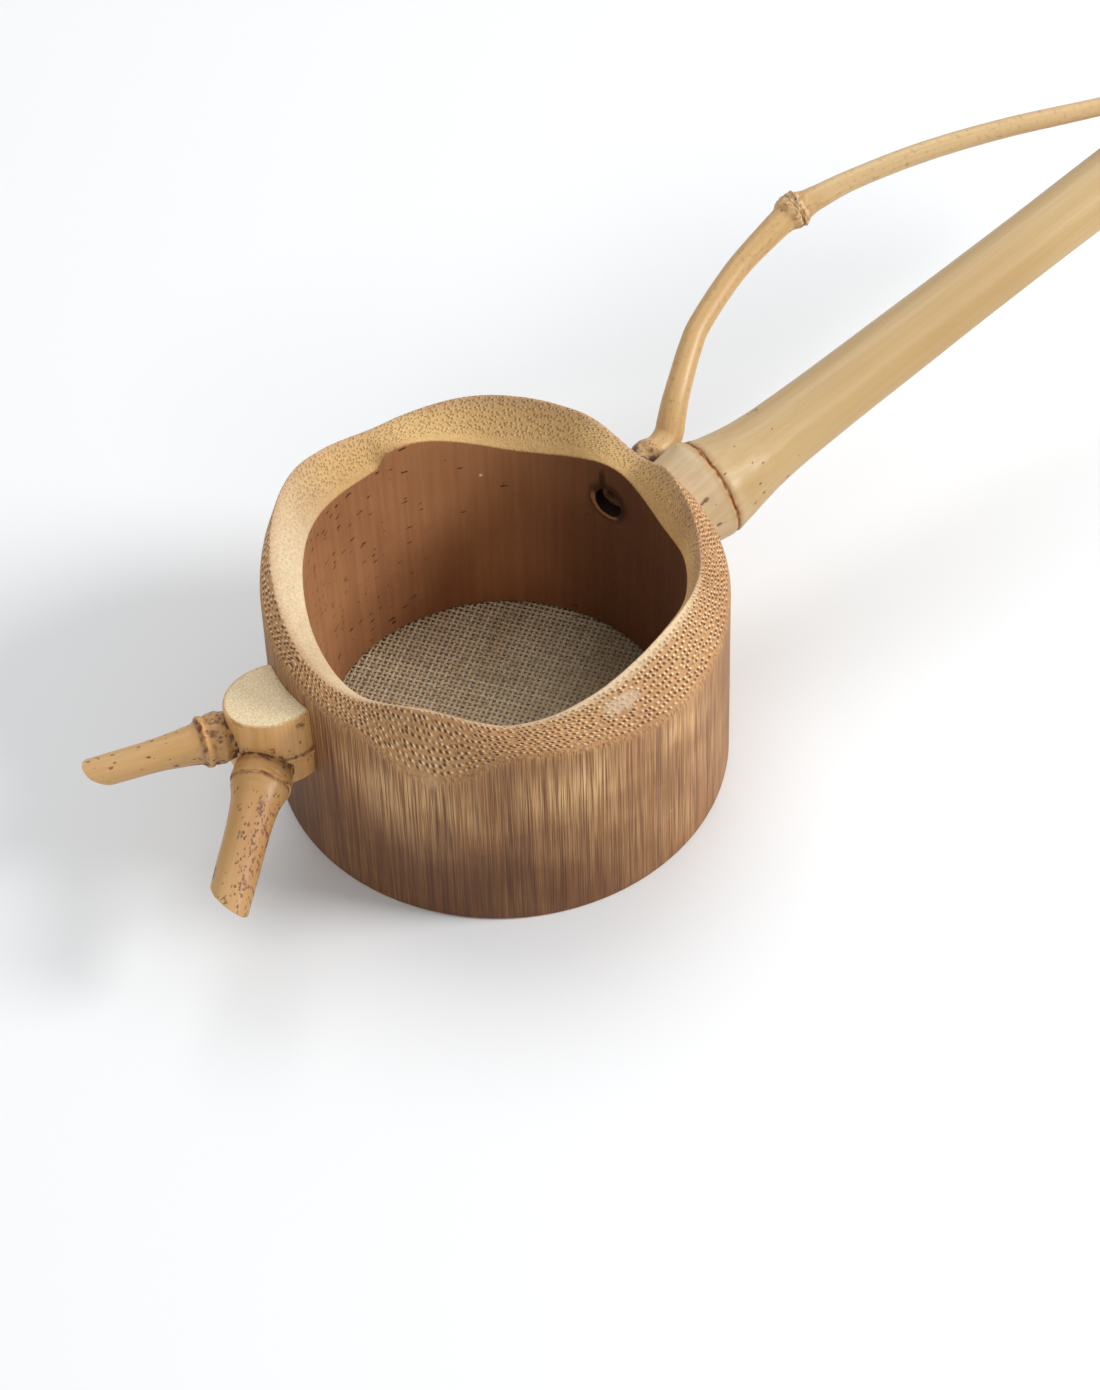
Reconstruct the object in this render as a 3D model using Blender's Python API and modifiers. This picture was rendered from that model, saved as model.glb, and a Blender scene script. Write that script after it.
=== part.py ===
"""Bamboo tea strainer: a carved culm cup with a gauze bottom, a branch handle and a forked pitcher rest.

Units are metres with +Z up.  The cup stands on its base at Z = 0 and the handle runs along +X.
Azimuths are measured about the cup's axis from +X towards +Y.  The whole part is shifted at the end
so that its origin is the bottom centre of its bounding box.
"""

import math

import bmesh
import bpy
from mathutils import Matrix, Vector

# --- clearances ------------------------------------------------------------
JOINT_GAP = 0.0003            # space left between two pieces that are glued or pressed together
MERGE_DISTANCE = 0.00001
CUTTER_OVERSHOOT = 0.005      # how far a cutter runs past the surface that it opens
SHARP_ANGLE = math.radians(35)

# --- cup: a length of large bamboo culm ------------------------------------
CUP_OUTER_RADIUS = 0.0310
CUP_WALL = 0.0058             # at the rim
CUP_BASE_WALL = 0.0066        # the culm thickens towards its base
CUP_BASE_CHAMFER = 0.0004
CUP_SEGMENTS = 96
# Carved rim.  Each entry is (azimuth in degrees, height); the height swings smoothly between entries.
RIM_CREST = (
    (11, 0.0346), (30, 0.0376), (55, 0.0380), (84, 0.0368), (121, 0.0408), (184, 0.0338), (214, 0.0370),
    (239, 0.0347), (289, 0.0390), (332, 0.0356), (357, 0.0368),
)
RIM_OUTER_EDGE = (
    (13, 0.0310), (50, 0.0345), (84, 0.0335), (121, 0.0365), (165, 0.0330),
    (195, 0.0325), (216, 0.0275), (240, 0.0332), (287, 0.0295), (330, 0.0315),
)
RIM_INNER_EDGE = (
    (14, 0.0332), (43, 0.0314), (87, 0.0362), (93, 0.0340), (130, 0.0362), (184, 0.0310),
    (214, 0.0345), (239, 0.0326), (289, 0.0365), (325, 0.0325), (350, 0.0300),
)
CREST_INSET = 0.0028          # mean distance of the crest from the outer wall
CREST_WANDER = 0.0018         # the crest lies nearer the outside on one side of the cup
CREST_WANDER_AZIMUTH = 94

# --- gauze bottom: cloth clamped under a shoulder by a thin hoop -----------
HOOP_RECESS = 0.0002          # the hoop stays clear of the table
HOOP_THICKNESS = 0.0008
HOOP_WIDTH = 0.0027
CLOTH_THICKNESS = 0.00035
SHOULDER_WIDTH = 0.0030       # ledge that the cloth is pressed up against

# --- handle: a branch with its node ring next to the cup -------------------
HANDLE_TILT = 12              # degrees above horizontal
HANDLE_AXIS_HEIGHT = 0.0187   # where the handle's axis would cross the cup's axis
HANDLE_LENGTH = 0.1150        # from the node ring to the far end
STUB_LENGTH = 0.0063          # from the cup's wall to the node ring
NODE_RING_RADIUS = 0.0071
NODE_RING_HALF_WIDTH = 0.0008
STUB_RADIUS = 0.0062
# Culm radius beyond the node ring, as (distance beyond the ring, radius).
HANDLE_RADII = (
    (0.0016, 0.0066), (0.0045, 0.0061), (0.0085, 0.0055), (0.0130, 0.0052), (0.0220, 0.0049),
    (0.0340, 0.0047), (0.0500, 0.00455), (0.0750, 0.0046),
)
HANDLE_END_RADIUS = 0.0047
HANDLE_END_ROUND = 0.0004
HANDLE_WALL = 0.0018          # bamboo wall around the hollow
HANDLE_DIAPHRAGM = 0.0060     # solid length at the node
HANDLE_SEGMENTS = 32
HANDLE_DOWEL_RADIUS = 0.0026
HANDLE_DOWEL_IN_HANDLE = 0.0050
DOWEL_IN_WALL = 0.0032        # depth of a blind dowel hole in the cup's wall
DOWEL_CHAMFER = 0.0003

# --- side branch: a thin twig tenoned through the wall beside the handle ---
TENON_RADIUS = 0.0019
TENON_TO_STUB = 0.0003        # sideways room between the tenon and the handle's stub
TENON_ABOVE_HANDLE = 0.0021   # height of the tenon's middle above the handle's axis
TENON_RISE = 8                # degrees
TENON_PROUD = 0.0006          # shows inside the cup
# Route of the twig past the wall, as (distance from the wall along X, Y past the foot,
# height above the handle's axis, radius).
BRANCH_ROUTE = (
    (0.0062, 0.0022, 0.0034, 0.00180),
    (0.0103, 0.0049, 0.0055, 0.00170),
    (0.0145, 0.0076, 0.0071, 0.00162),
    (0.0180, 0.0093, 0.0079, 0.00160),
    (0.0260, 0.0118, 0.0092, 0.00163),
    (0.0330, 0.0129, 0.0099, 0.00185),
    (0.0365, 0.0133, 0.0101, 0.00215),
    (0.0377, 0.0134, 0.0101, 0.00260),
    (0.0389, 0.0132, 0.0101, 0.00215),
    (0.0415, 0.0126, 0.0103, 0.00170),
    (0.0470, 0.0113, 0.0103, 0.00147),
    (0.0568, 0.0079, 0.0101, 0.00142),
    (0.0675, 0.0034, 0.0092, 0.00138),
    (0.0800, -0.0023, 0.0075, 0.00130),
    (0.0890, -0.0062, 0.0066, 0.00122),
)
BRANCH_STEPS = 3              # spline points between two route points
BRANCH_RESOLUTION = 4         # gives 12 sides

# --- pitcher rest: a forked branch node coped and dowelled to the cup ------
REST_AZIMUTH = 170.5
REST_STANDOFF = 0.0020        # from the cup's wall to the block's axis
REST_RADIUS = 0.0066
REST_BOTTOM = 0.0175
REST_TOP = 0.0280
REST_RING_HEIGHT = 0.0226
REST_RING_BULGE = 0.0006
REST_SEGMENTS = 32
REST_EDGE_BEVEL = 0.0004
REST_DOWEL_RADIUS = 0.0019
REST_DOWEL_HEIGHT = 0.0230
REST_DOWEL_IN_BLOCK = 0.0053
# Each twig is (azimuth, slope in degrees, height of its root above the node ring, and its radii as
# (distance beyond the block's surface, radius)).
LEFT_TWIG = (
    163, 0.5, 0.0005,
    (
        (-0.0020, 0.0031), (0.0011, 0.0036), (0.0024, 0.0031), (0.0035, 0.0033),
        (0.0050, 0.0026), (0.0127, 0.0021), (0.0192, 0.0021),
    ),
)
FRONT_TWIG = (
    221, -9, -0.0010,
    (
        (-0.0022, 0.0036), (0.0010, 0.0041), (0.0025, 0.0037), (0.0051, 0.0032),
        (0.0138, 0.0029), (0.0226, 0.0028),
    ),
)
TWIG_STEPS = 3
TWIG_RESOLUTION = 4

# --- values that follow from the ones above --------------------------------
CUP_INNER_RADIUS = CUP_OUTER_RADIUS - CUP_WALL
CUP_BASE_INNER_RADIUS = CUP_OUTER_RADIUS - CUP_BASE_WALL
CUP_BLANK_HEIGHT = max(height for azimuth, height in RIM_CREST) + 0.002
CLOTH_BOTTOM = HOOP_RECESS + HOOP_THICKNESS + JOINT_GAP
SHOULDER_HEIGHT = CLOTH_BOTTOM + CLOTH_THICKNESS + JOINT_GAP
REBATE_RADIUS = CUP_BASE_INNER_RADIUS + SHOULDER_WIDTH
HOOP_OUTER_RADIUS = REBATE_RADIUS - JOINT_GAP
CREST_MEAN_RADIUS = CUP_OUTER_RADIUS - CREST_INSET
DOWEL_INNER_REACH = CUP_OUTER_RADIUS - DOWEL_IN_WALL   # inner end of a dowel, from the cup's axis
TENON_SIDE = STUB_RADIUS + TENON_RADIUS + TENON_TO_STUB   # Y of the tenon where it leaves the wall
TENON_AZIMUTH = math.degrees(math.asin(TENON_SIDE / CUP_OUTER_RADIUS))
REST_DISTANCE = CUP_OUTER_RADIUS + REST_STANDOFF
HANDLE_DIRECTION = Vector((math.cos(math.radians(HANDLE_TILT)), 0, math.sin(math.radians(HANDLE_TILT))))
NODE_RING_DISTANCE = CUP_OUTER_RADIUS + STUB_LENGTH
HANDLE_FAR_END = NODE_RING_DISTANCE + HANDLE_LENGTH
HANDLE_DOWEL_END = CUP_OUTER_RADIUS + HANDLE_DOWEL_IN_HANDLE


def new_collection(name):
    collection = bpy.data.collections.new(name)
    bpy.context.scene.collection.children.link(collection)
    return collection


for old in list(bpy.data.objects):
    bpy.data.objects.remove(old, do_unlink=True)

PARTS = new_collection("tea_strainer")
CUTTERS = new_collection("cutters")
ROOT = bpy.data.objects.new("tea_strainer_root", None)
PARTS.objects.link(ROOT)


# --- helpers ---------------------------------------------------------------
def make_material(name, colour, roughness):
    material = bpy.data.materials.new(name)
    material.use_nodes = True
    shader = material.node_tree.nodes["Principled BSDF"]
    shader.inputs["Base Color"].default_value = (*colour, 1)
    shader.inputs["Roughness"].default_value = roughness
    shader.inputs["Metallic"].default_value = 0
    return material


def link(obj, collection):
    collection.objects.link(obj)
    obj.parent = ROOT
    return obj


def finish_part(obj, material):
    """Files a finished piece with the parts, gives it its material and shades it smooth."""
    link(obj, PARTS)
    obj.data.materials.clear()
    obj.data.materials.append(material)
    obj.data.shade_smooth()
    obj.data.set_sharp_from_angle(angle=SHARP_ANGLE)
    return obj


def as_cutter(obj):
    link(obj, CUTTERS)
    obj.hide_render = True
    obj.display_type = "WIRE"
    return obj


def boolean(obj, other, operation):
    modifier = obj.modifiers.new(operation.lower() + "_" + other.name, "BOOLEAN")
    modifier.operation = operation
    modifier.object = other


def evaluated_mesh(obj, name):
    """A plain mesh of an object as its modifiers or its bevel make it."""
    bpy.context.scene.collection.objects.link(obj)
    graph = bpy.context.evaluated_depsgraph_get()
    mesh = bpy.data.meshes.new_from_object(obj.evaluated_get(graph))
    bpy.data.objects.remove(obj, do_unlink=True)
    work = bmesh.new()
    work.from_mesh(mesh)
    bmesh.ops.remove_doubles(work, verts=work.verts, dist=MERGE_DISTANCE)
    work.to_mesh(mesh)
    work.free()
    mesh.name = name
    return mesh


def turned(name, profile, segments, closed=False):
    """A mesh turned about Z from (radius, height) points that run down the outer side."""
    mesh = bpy.data.meshes.new(name + "_profile")
    last = len(profile) - 1
    edges = [(i, i + 1) for i in range(last)]
    if closed:
        edges.append((last, 0))
    mesh.from_pydata([(radius, 0, height) for radius, height in profile], edges, [])
    obj = bpy.data.objects.new(name + "_blank", mesh)
    screw = obj.modifiers.new("turn", "SCREW")
    screw.axis = "Z"
    screw.steps = segments
    screw.render_steps = segments
    screw.use_merge_vertices = True
    screw.merge_threshold = MERGE_DISTANCE
    return evaluated_mesh(obj, name)


def tube_mesh(name, points, radii, resolution):
    """A round rod along points, with a radius of its own at each point and flat ends."""
    curve = bpy.data.curves.new(name + "_path", "CURVE")
    curve.dimensions = "3D"
    curve.bevel_depth = 1
    curve.bevel_resolution = resolution
    curve.use_fill_caps = True
    spline = curve.splines.new("POLY")
    spline.points.add(len(points) - 1)
    for spot, point, radius in zip(spline.points, points, radii):
        spot.co = (*point, 1)
        spot.radius = radius
    return evaluated_mesh(bpy.data.objects.new(name + "_rod", curve), name)


def smooth_route(stations, steps):
    """Catmull-Rom points through (X, Y, Z, radius) stations, returned as points and radii."""
    rows = [Vector(station) for station in stations]
    rows = [rows[0] * 2 - rows[1]] + rows + [rows[-1] * 2 - rows[-2]]
    smooth = []
    for a, b, c, d in zip(rows, rows[1:], rows[2:], rows[3:]):
        for step in range(steps):
            t = step / steps
            bend = 2 * a - 5 * b + 4 * c - d
            twist = 3 * b - a - 3 * c + d
            smooth.append((2 * b + (c - a) * t + bend * t ** 2 + twist * t ** 3) / 2)
    smooth.append(rows[-2])
    return [row.to_3d() for row in smooth], [row.w for row in smooth]


def along(direction):
    """Rotation that carries +Z to a direction."""
    return direction.to_track_quat("Z", "Y").to_matrix().to_4x4()


def rod(name, start, end, radius, segments=24, chamfer=0):
    """A straight round rod between two points, with chamfered ends."""
    work = bmesh.new()
    length = (end - start).length
    bmesh.ops.create_cone(
        work, cap_ends=True, segments=segments, radius1=radius, radius2=radius, depth=length,
        matrix=Matrix.Translation((start + end) / 2) @ along((end - start).normalized()),
    )
    if chamfer:
        rims = [edge for edge in work.edges if any(len(face.verts) > 4 for face in edge.link_faces)]
        bmesh.ops.bevel(work, geom=rims, offset=chamfer, segments=1, affect="EDGES")
    mesh = bpy.data.meshes.new(name)
    work.to_mesh(mesh)
    work.free()
    return bpy.data.objects.new(name, mesh)


def polar(radius, azimuth, height):
    angle = math.radians(azimuth)
    return Vector((radius * math.cos(angle), radius * math.sin(angle), height))


def swing(stations, azimuth):
    """Height at an azimuth, eased with a half cosine between neighbouring (azimuth, height) stations."""
    ring = sorted(stations)
    ring = [(ring[-1][0] - 360, ring[-1][1])] + ring + [(ring[0][0] + 360, ring[0][1])]
    for (before, low), (after, high) in zip(ring, ring[1:]):
        if before <= azimuth <= after:
            share = (azimuth - before) / (after - before)
            return low + (high - low) * (1 - math.cos(math.pi * share)) / 2
    return ring[0][1]


def on_handle(distance):
    """Point of the handle's axis at a distance from the cup's axis."""
    return Vector((0, 0, HANDLE_AXIS_HEIGHT)) + HANDLE_DIRECTION * distance


def handle_height(distance):
    """Height of the handle's axis at a level distance from the cup's axis."""
    return HANDLE_AXIS_HEIGHT + distance * math.tan(math.radians(HANDLE_TILT))


# --- materials -------------------------------------------------------------
CULM_BROWN = make_material("cup bamboo", (0.30, 0.16, 0.07), 0.6)
BRANCH_TAN = make_material("branch bamboo", (0.56, 0.36, 0.16), 0.4)
DOWEL_PALE = make_material("dowel bamboo", (0.66, 0.50, 0.28), 0.6)
CLOTH_BEIGE = make_material("linen gauze", (0.42, 0.34, 0.23), 0.9)


# --- cup -------------------------------------------------------------------
def cope_cutter():
    """The cup's own outer cylinder plus the joint gap, for pieces that are shaped to fit against it."""
    bottom = Vector((0, 0, -CUTTER_OVERSHOOT))
    top = Vector((0, 0, CUP_BLANK_HEIGHT + CUTTER_OVERSHOOT))
    radius = CUP_OUTER_RADIUS + JOINT_GAP
    return as_cutter(rod("cope_cutter", bottom, top, radius, segments=CUP_SEGMENTS))


def carve_rim(mesh):
    """Lifts or drops the three rings of the blank's top to the carved crest and its two bevel edges."""
    for vertex in mesh.vertices:
        if vertex.co.z < CUP_BLANK_HEIGHT - MERGE_DISTANCE:
            continue
        azimuth = math.degrees(math.atan2(vertex.co.y, vertex.co.x)) % 360
        radius = math.hypot(vertex.co.x, vertex.co.y)
        if radius > CUP_OUTER_RADIUS - MERGE_DISTANCE:
            height = swing(RIM_OUTER_EDGE, azimuth)
        elif radius < CUP_INNER_RADIUS + MERGE_DISTANCE:
            height = swing(RIM_INNER_EDGE, azimuth)
        else:
            height = swing(RIM_CREST, azimuth)
            swerve = math.cos(math.radians(azimuth - CREST_WANDER_AZIMUTH))
            radius = CREST_MEAN_RADIUS + CREST_WANDER * swerve
        vertex.co = polar(radius, azimuth, height)


def build_cup():
    outer = CUP_OUTER_RADIUS
    profile = [
        (CREST_MEAN_RADIUS, CUP_BLANK_HEIGHT),
        (outer, CUP_BLANK_HEIGHT),
        (outer, CUP_BASE_CHAMFER),
        (outer - CUP_BASE_CHAMFER, 0),
        (REBATE_RADIUS, 0),
        (REBATE_RADIUS, SHOULDER_HEIGHT),
        (CUP_BASE_INNER_RADIUS, SHOULDER_HEIGHT),
        (CUP_INNER_RADIUS, CUP_BLANK_HEIGHT),
    ]
    mesh = turned("cup_body", profile, CUP_SEGMENTS, closed=True)
    carve_rim(mesh)
    cup = finish_part(bpy.data.objects.new("cup_body", mesh), CULM_BROWN)
    blind_end = DOWEL_INNER_REACH - JOINT_GAP
    outside = CUP_OUTER_RADIUS + CUTTER_OVERSHOOT
    holes = (
        ("handle_dowel_hole", on_handle(blind_end), on_handle(outside), HANDLE_DOWEL_RADIUS),
        ("rest_dowel_hole", on_rest_dowel(blind_end), on_rest_dowel(outside), REST_DOWEL_RADIUS),
        ("tenon_hole", on_tenon(-CUP_WALL), on_tenon(CUP_WALL), TENON_RADIUS),
    )
    for name, start, end, radius in holes:
        boolean(cup, as_cutter(rod(name, start, end, radius + JOINT_GAP)), "DIFFERENCE")


def build_gauze_bottom():
    inner = HOOP_OUTER_RADIUS - HOOP_WIDTH
    low = HOOP_RECESS
    high = HOOP_RECESS + HOOP_THICKNESS
    profile = [(HOOP_OUTER_RADIUS, high), (HOOP_OUTER_RADIUS, low), (inner, low), (inner, high)]
    hoop = bpy.data.objects.new("cloth_hoop", turned("cloth_hoop", profile, CUP_SEGMENTS, closed=True))
    finish_part(hoop, DOWEL_PALE)
    cloth = rod(
        "filter_cloth", Vector((0, 0, CLOTH_BOTTOM)), Vector((0, 0, CLOTH_BOTTOM + CLOTH_THICKNESS)),
        HOOP_OUTER_RADIUS, segments=CUP_SEGMENTS,
    )
    finish_part(cloth, CLOTH_BEIGE)


# --- handle ----------------------------------------------------------------
def build_handle(cope):
    ring = NODE_RING_DISTANCE
    start = CUP_INNER_RADIUS
    bore = HANDLE_END_RADIUS - HANDLE_WALL
    bore_bottom = ring + HANDLE_DIAPHRAGM
    socket = HANDLE_DOWEL_RADIUS + JOINT_GAP
    socket_end = HANDLE_DOWEL_END + JOINT_GAP
    far = HANDLE_FAR_END
    half = NODE_RING_HALF_WIDTH
    profile = [(0, bore_bottom), (bore, bore_bottom), (bore, far)]
    profile += [(HANDLE_END_RADIUS - HANDLE_END_ROUND, far), (HANDLE_END_RADIUS, far - HANDLE_END_ROUND)]
    profile += [(radius, ring + past) for past, radius in reversed(HANDLE_RADII) if past < HANDLE_LENGTH]
    profile += [(NODE_RING_RADIUS, ring + half), (NODE_RING_RADIUS, ring - half)]
    profile += [(STUB_RADIUS, ring - 2 * half), (STUB_RADIUS, start)]
    profile += [(socket, start), (socket, socket_end), (0, socket_end)]
    mesh = turned("handle", profile, HANDLE_SEGMENTS)
    handle = finish_part(bpy.data.objects.new("handle", mesh), BRANCH_TAN)
    handle.location = on_handle(0)
    handle.rotation_euler = along(HANDLE_DIRECTION).to_euler()
    boolean(handle, cope, "DIFFERENCE")
    dowel = rod(
        "handle_dowel", on_handle(DOWEL_INNER_REACH), on_handle(HANDLE_DOWEL_END),
        HANDLE_DOWEL_RADIUS, chamfer=DOWEL_CHAMFER,
    )
    finish_part(dowel, DOWEL_PALE)


# --- side branch -----------------------------------------------------------
def on_tenon(distance):
    """Point of the tenon's axis at a distance from the middle of the cup's wall."""
    rise = math.radians(TENON_RISE)
    middle_radius = CUP_OUTER_RADIUS - CUP_WALL / 2
    height = handle_height(middle_radius) + TENON_ABOVE_HANDLE
    middle = polar(middle_radius, TENON_AZIMUTH, height)
    direction = polar(math.cos(rise), TENON_AZIMUTH, math.sin(rise))
    return middle + direction * distance


def build_side_branch():
    inner_end = on_tenon(-CUP_WALL / 2 - TENON_PROUD)
    outer_end = on_tenon(CUP_WALL / 2 + 2 * JOINT_GAP)
    stations = [(*outer_end, TENON_RADIUS)]
    for along_x, past_foot, above, radius in BRANCH_ROUTE:
        x = CUP_OUTER_RADIUS + along_x
        stations.append((x, TENON_SIDE + past_foot, handle_height(x) + above, radius))
    points, radii = smooth_route(stations, BRANCH_STEPS)
    mesh = tube_mesh("side_branch", [inner_end] + points, [TENON_RADIUS] + radii, BRANCH_RESOLUTION)
    finish_part(bpy.data.objects.new("side_branch", mesh), BRANCH_TAN)


# --- pitcher rest ----------------------------------------------------------
def on_rest_dowel(distance):
    """Point of the rest dowel's axis at a distance from the cup's axis."""
    return polar(distance, REST_AZIMUTH, REST_DOWEL_HEIGHT)


def twig_mesh(name, twig, root):
    azimuth, slope, above_ring, radii = twig
    tilt = math.radians(slope)
    direction = polar(math.cos(tilt), azimuth, math.sin(tilt))
    start = Vector((root.x, root.y, REST_RING_HEIGHT + above_ring))
    stations = [(*(start + direction * (REST_RADIUS + beyond)), radius) for beyond, radius in radii]
    points, smooth_radii = smooth_route(stations, TWIG_STEPS)
    return tube_mesh(name, points, smooth_radii, TWIG_RESOLUTION)


def build_rest(cope):
    axis = polar(REST_DISTANCE, REST_AZIMUTH, 0)
    ring = REST_RING_HEIGHT - REST_BOTTOM
    plain = REST_RADIUS
    bulge = REST_RADIUS + REST_RING_BULGE
    height = REST_TOP - REST_BOTTOM
    bevel = REST_EDGE_BEVEL
    profile = [
        (0, height), (plain - bevel, height), (plain, height - bevel),
        (plain, ring + 3 * bevel), (bulge, ring + bevel), (bulge, ring - bevel), (plain, ring - 3 * bevel),
        (plain, bevel), (plain - bevel, 0), (0, 0),
    ]
    mesh = turned("rest_fork", profile, REST_SEGMENTS)
    fork = finish_part(bpy.data.objects.new("rest_fork", mesh), BRANCH_TAN)
    fork.location = (axis.x, axis.y, REST_BOTTOM)
    for name, twig in (("left_twig_union", LEFT_TWIG), ("front_twig_union", FRONT_TWIG)):
        limb = as_cutter(bpy.data.objects.new(name, twig_mesh(name, twig, axis)))
        boolean(fork, limb, "UNION")
    boolean(fork, cope, "DIFFERENCE")
    start = on_rest_dowel(DOWEL_INNER_REACH)
    end = CUP_OUTER_RADIUS + REST_DOWEL_IN_BLOCK
    radius = REST_DOWEL_RADIUS
    socket = rod("rest_dowel_socket", start, on_rest_dowel(end + JOINT_GAP), radius + JOINT_GAP)
    boolean(fork, as_cutter(socket), "DIFFERENCE")
    dowel = rod("rest_dowel", start, on_rest_dowel(end), radius, chamfer=DOWEL_CHAMFER)
    finish_part(dowel, DOWEL_PALE)


# --- frame -----------------------------------------------------------------
def centre_on_box():
    """Moves the whole part so that the origin is the bottom centre of its bounding box."""
    bpy.context.view_layer.update()
    graph = bpy.context.evaluated_depsgraph_get()
    corners = []
    for obj in PARTS.objects:
        if obj.type != "MESH":
            continue
        shaped = obj.evaluated_get(graph)
        corners += [obj.matrix_world @ vertex.co for vertex in shaped.data.vertices]
    low = [min(corner[i] for corner in corners) for i in range(3)]
    high = [max(corner[i] for corner in corners) for i in range(3)]
    ROOT.location = (-(low[0] + high[0]) / 2, -(low[1] + high[1]) / 2, -low[2])
    bpy.context.view_layer.update()


COPE = cope_cutter()
build_cup()
build_gauze_bottom()
build_handle(COPE)
build_side_branch()
build_rest(COPE)
centre_on_box()
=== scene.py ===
import math

import bpy
import numpy as np
from mathutils import Matrix, Vector, noise


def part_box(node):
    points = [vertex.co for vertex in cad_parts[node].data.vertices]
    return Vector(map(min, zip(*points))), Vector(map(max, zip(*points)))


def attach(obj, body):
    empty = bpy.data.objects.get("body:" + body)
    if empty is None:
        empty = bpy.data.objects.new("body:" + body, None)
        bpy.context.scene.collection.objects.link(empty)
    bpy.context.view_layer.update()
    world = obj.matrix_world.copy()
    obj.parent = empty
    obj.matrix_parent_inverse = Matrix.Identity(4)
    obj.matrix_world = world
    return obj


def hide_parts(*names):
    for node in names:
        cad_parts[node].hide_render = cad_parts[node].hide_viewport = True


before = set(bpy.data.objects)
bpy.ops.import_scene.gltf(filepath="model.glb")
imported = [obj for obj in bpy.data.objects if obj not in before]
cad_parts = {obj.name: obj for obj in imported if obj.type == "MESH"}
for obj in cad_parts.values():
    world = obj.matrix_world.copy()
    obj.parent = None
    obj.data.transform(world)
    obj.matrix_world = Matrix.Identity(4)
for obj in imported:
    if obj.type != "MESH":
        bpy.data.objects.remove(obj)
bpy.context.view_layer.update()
bpy.ops.object.select_all(action="DESELECT")
print("frame loaded,", len(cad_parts), "nodes")

# Pieces are made in millimetres with the cup's axis at the origin, and settle() brings them to the frame.
mm = 0.001
cupLow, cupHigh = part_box("cup_body")
cupAxis = Vector(((cupLow.x + cupHigh.x) / 2, (cupLow.y + cupHigh.y) / 2, 0))
toFrame = Matrix.Translation(cupAxis) @ Matrix.Scale(mm, 4)


# camera, lights and floor
shot = {
    "azimuth": -36, "elevation": 49, "roll": -2,       # degrees
    "distance": 0.577, "aside": -0.00645, "above": -0.0058, "aimHeight": 0.001,   # metres
    "lens": 137.45, "sensor": 36,                      # millimetres
}
studio = {
    # each lamp: where it shines from, seen from the camera (right, away, up), distance, size and power
    "lamps": {
        "windowLamp": ((0.90, -0.12, 0.66), 0.9, 0.34, 5.7),
        "topLamp": ((-0.10, 0.60, 1.20), 1.1, 0.8, 3.6),
        "fillLamp": ((-0.70, -0.80, 0.50), 1.1, 0.9, 1.0),
    },
    "skyTone": (0.965, 0.985, 1.0), "skyStrength": 0.50,
    "floorSize": 6, "floorTone": (0.865, 0.875, 0.885),
}


def shotTurn():
    return Matrix.Rotation(math.radians(shot["azimuth"]), 3, "Z")


def makeCamera():
    rise = math.radians(shot["elevation"])
    roll = math.radians(shot["roll"])
    right = Vector((1, 0, 0))
    forward = Vector((0, math.cos(rise), -math.sin(rise)))
    up = right.cross(forward)
    turn = shotTurn()
    across = turn @ (right * math.cos(roll) + up * math.sin(roll))
    upward = turn @ (up * math.cos(roll) - right * math.sin(roll))
    forward = turn @ forward
    aim = cupAxis + Vector((0, 0, shot["aimHeight"]))
    eye = aim - across * shot["aside"] - upward * shot["above"] - forward * shot["distance"]
    data = bpy.data.cameras.new("camera")
    data.sensor_fit = "HORIZONTAL"
    data.sensor_width = shot["sensor"]
    data.lens = shot["lens"]
    camera = bpy.data.objects.new("camera", data)
    bpy.context.scene.collection.objects.link(camera)
    camera.matrix_world = Matrix.Translation(eye) @ Matrix((across, upward, -forward)).transposed().to_4x4()
    bpy.context.scene.camera = camera


def makeLamp(name, direction, distance, size, power):
    direction = (shotTurn() @ Vector(direction)).normalized()
    data = bpy.data.lights.new(name, "AREA")
    data.shape = "DISK"
    data.size = size
    data.energy = power
    lamp = bpy.data.objects.new(name, data)
    lamp.location = cupAxis + direction * distance
    lamp.rotation_euler = (-direction).to_track_quat("-Z", "Y").to_euler()
    bpy.context.scene.collection.objects.link(lamp)


def makeStudio():
    for name, (direction, distance, size, power) in studio["lamps"].items():
        makeLamp(name, direction, distance, size, power)
    world = bpy.data.worlds.new("softRoom")
    world.use_nodes = True
    world.node_tree.nodes["Background"].inputs["Color"].default_value = (*studio["skyTone"], 1)
    world.node_tree.nodes["Background"].inputs["Strength"].default_value = studio["skyStrength"]
    bpy.context.scene.world = world
    bpy.context.scene.view_settings.view_transform = "Standard"
    bpy.ops.mesh.primitive_plane_add(size=studio["floorSize"], location=(0, 0, 0))
    floor = bpy.context.object
    floor.name = "floor"
    paper = bpy.data.materials.new("paleTable")
    paper.use_nodes = True
    shader = paper.node_tree.nodes["Principled BSDF"]
    shader.inputs["Base Color"].default_value = (*studio["floorTone"], 1)
    shader.inputs["Roughness"].default_value = 0.55
    floor.data.materials.append(paper)


makeCamera()
makeStudio()
print("camera and studio ready")


# small helpers for shapes
def activate(piece):
    bpy.ops.object.select_all(action="DESELECT")
    piece.select_set(True)
    bpy.context.view_layer.objects.active = piece


def polar(radius, azimuth, height):
    angle = math.radians(azimuth)
    return Vector((radius * math.cos(angle), radius * math.sin(angle), height))


def along(direction):
    return direction.to_track_quat("Z", "Y").to_matrix().to_4x4()


def swing(stations, azimuth):      # eased with a half cosine between neighbouring (azimuth, height) stations
    ring = sorted(stations)
    ring = [(ring[-1][0] - 360, ring[-1][1])] + ring + [(ring[0][0] + 360, ring[0][1])]
    for (before, low), (after, high) in zip(ring, ring[1:]):
        if before <= azimuth <= after:
            share = (azimuth - before) / (after - before)
            return low + (high - low) * (1 - math.cos(math.pi * share)) / 2


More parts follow.
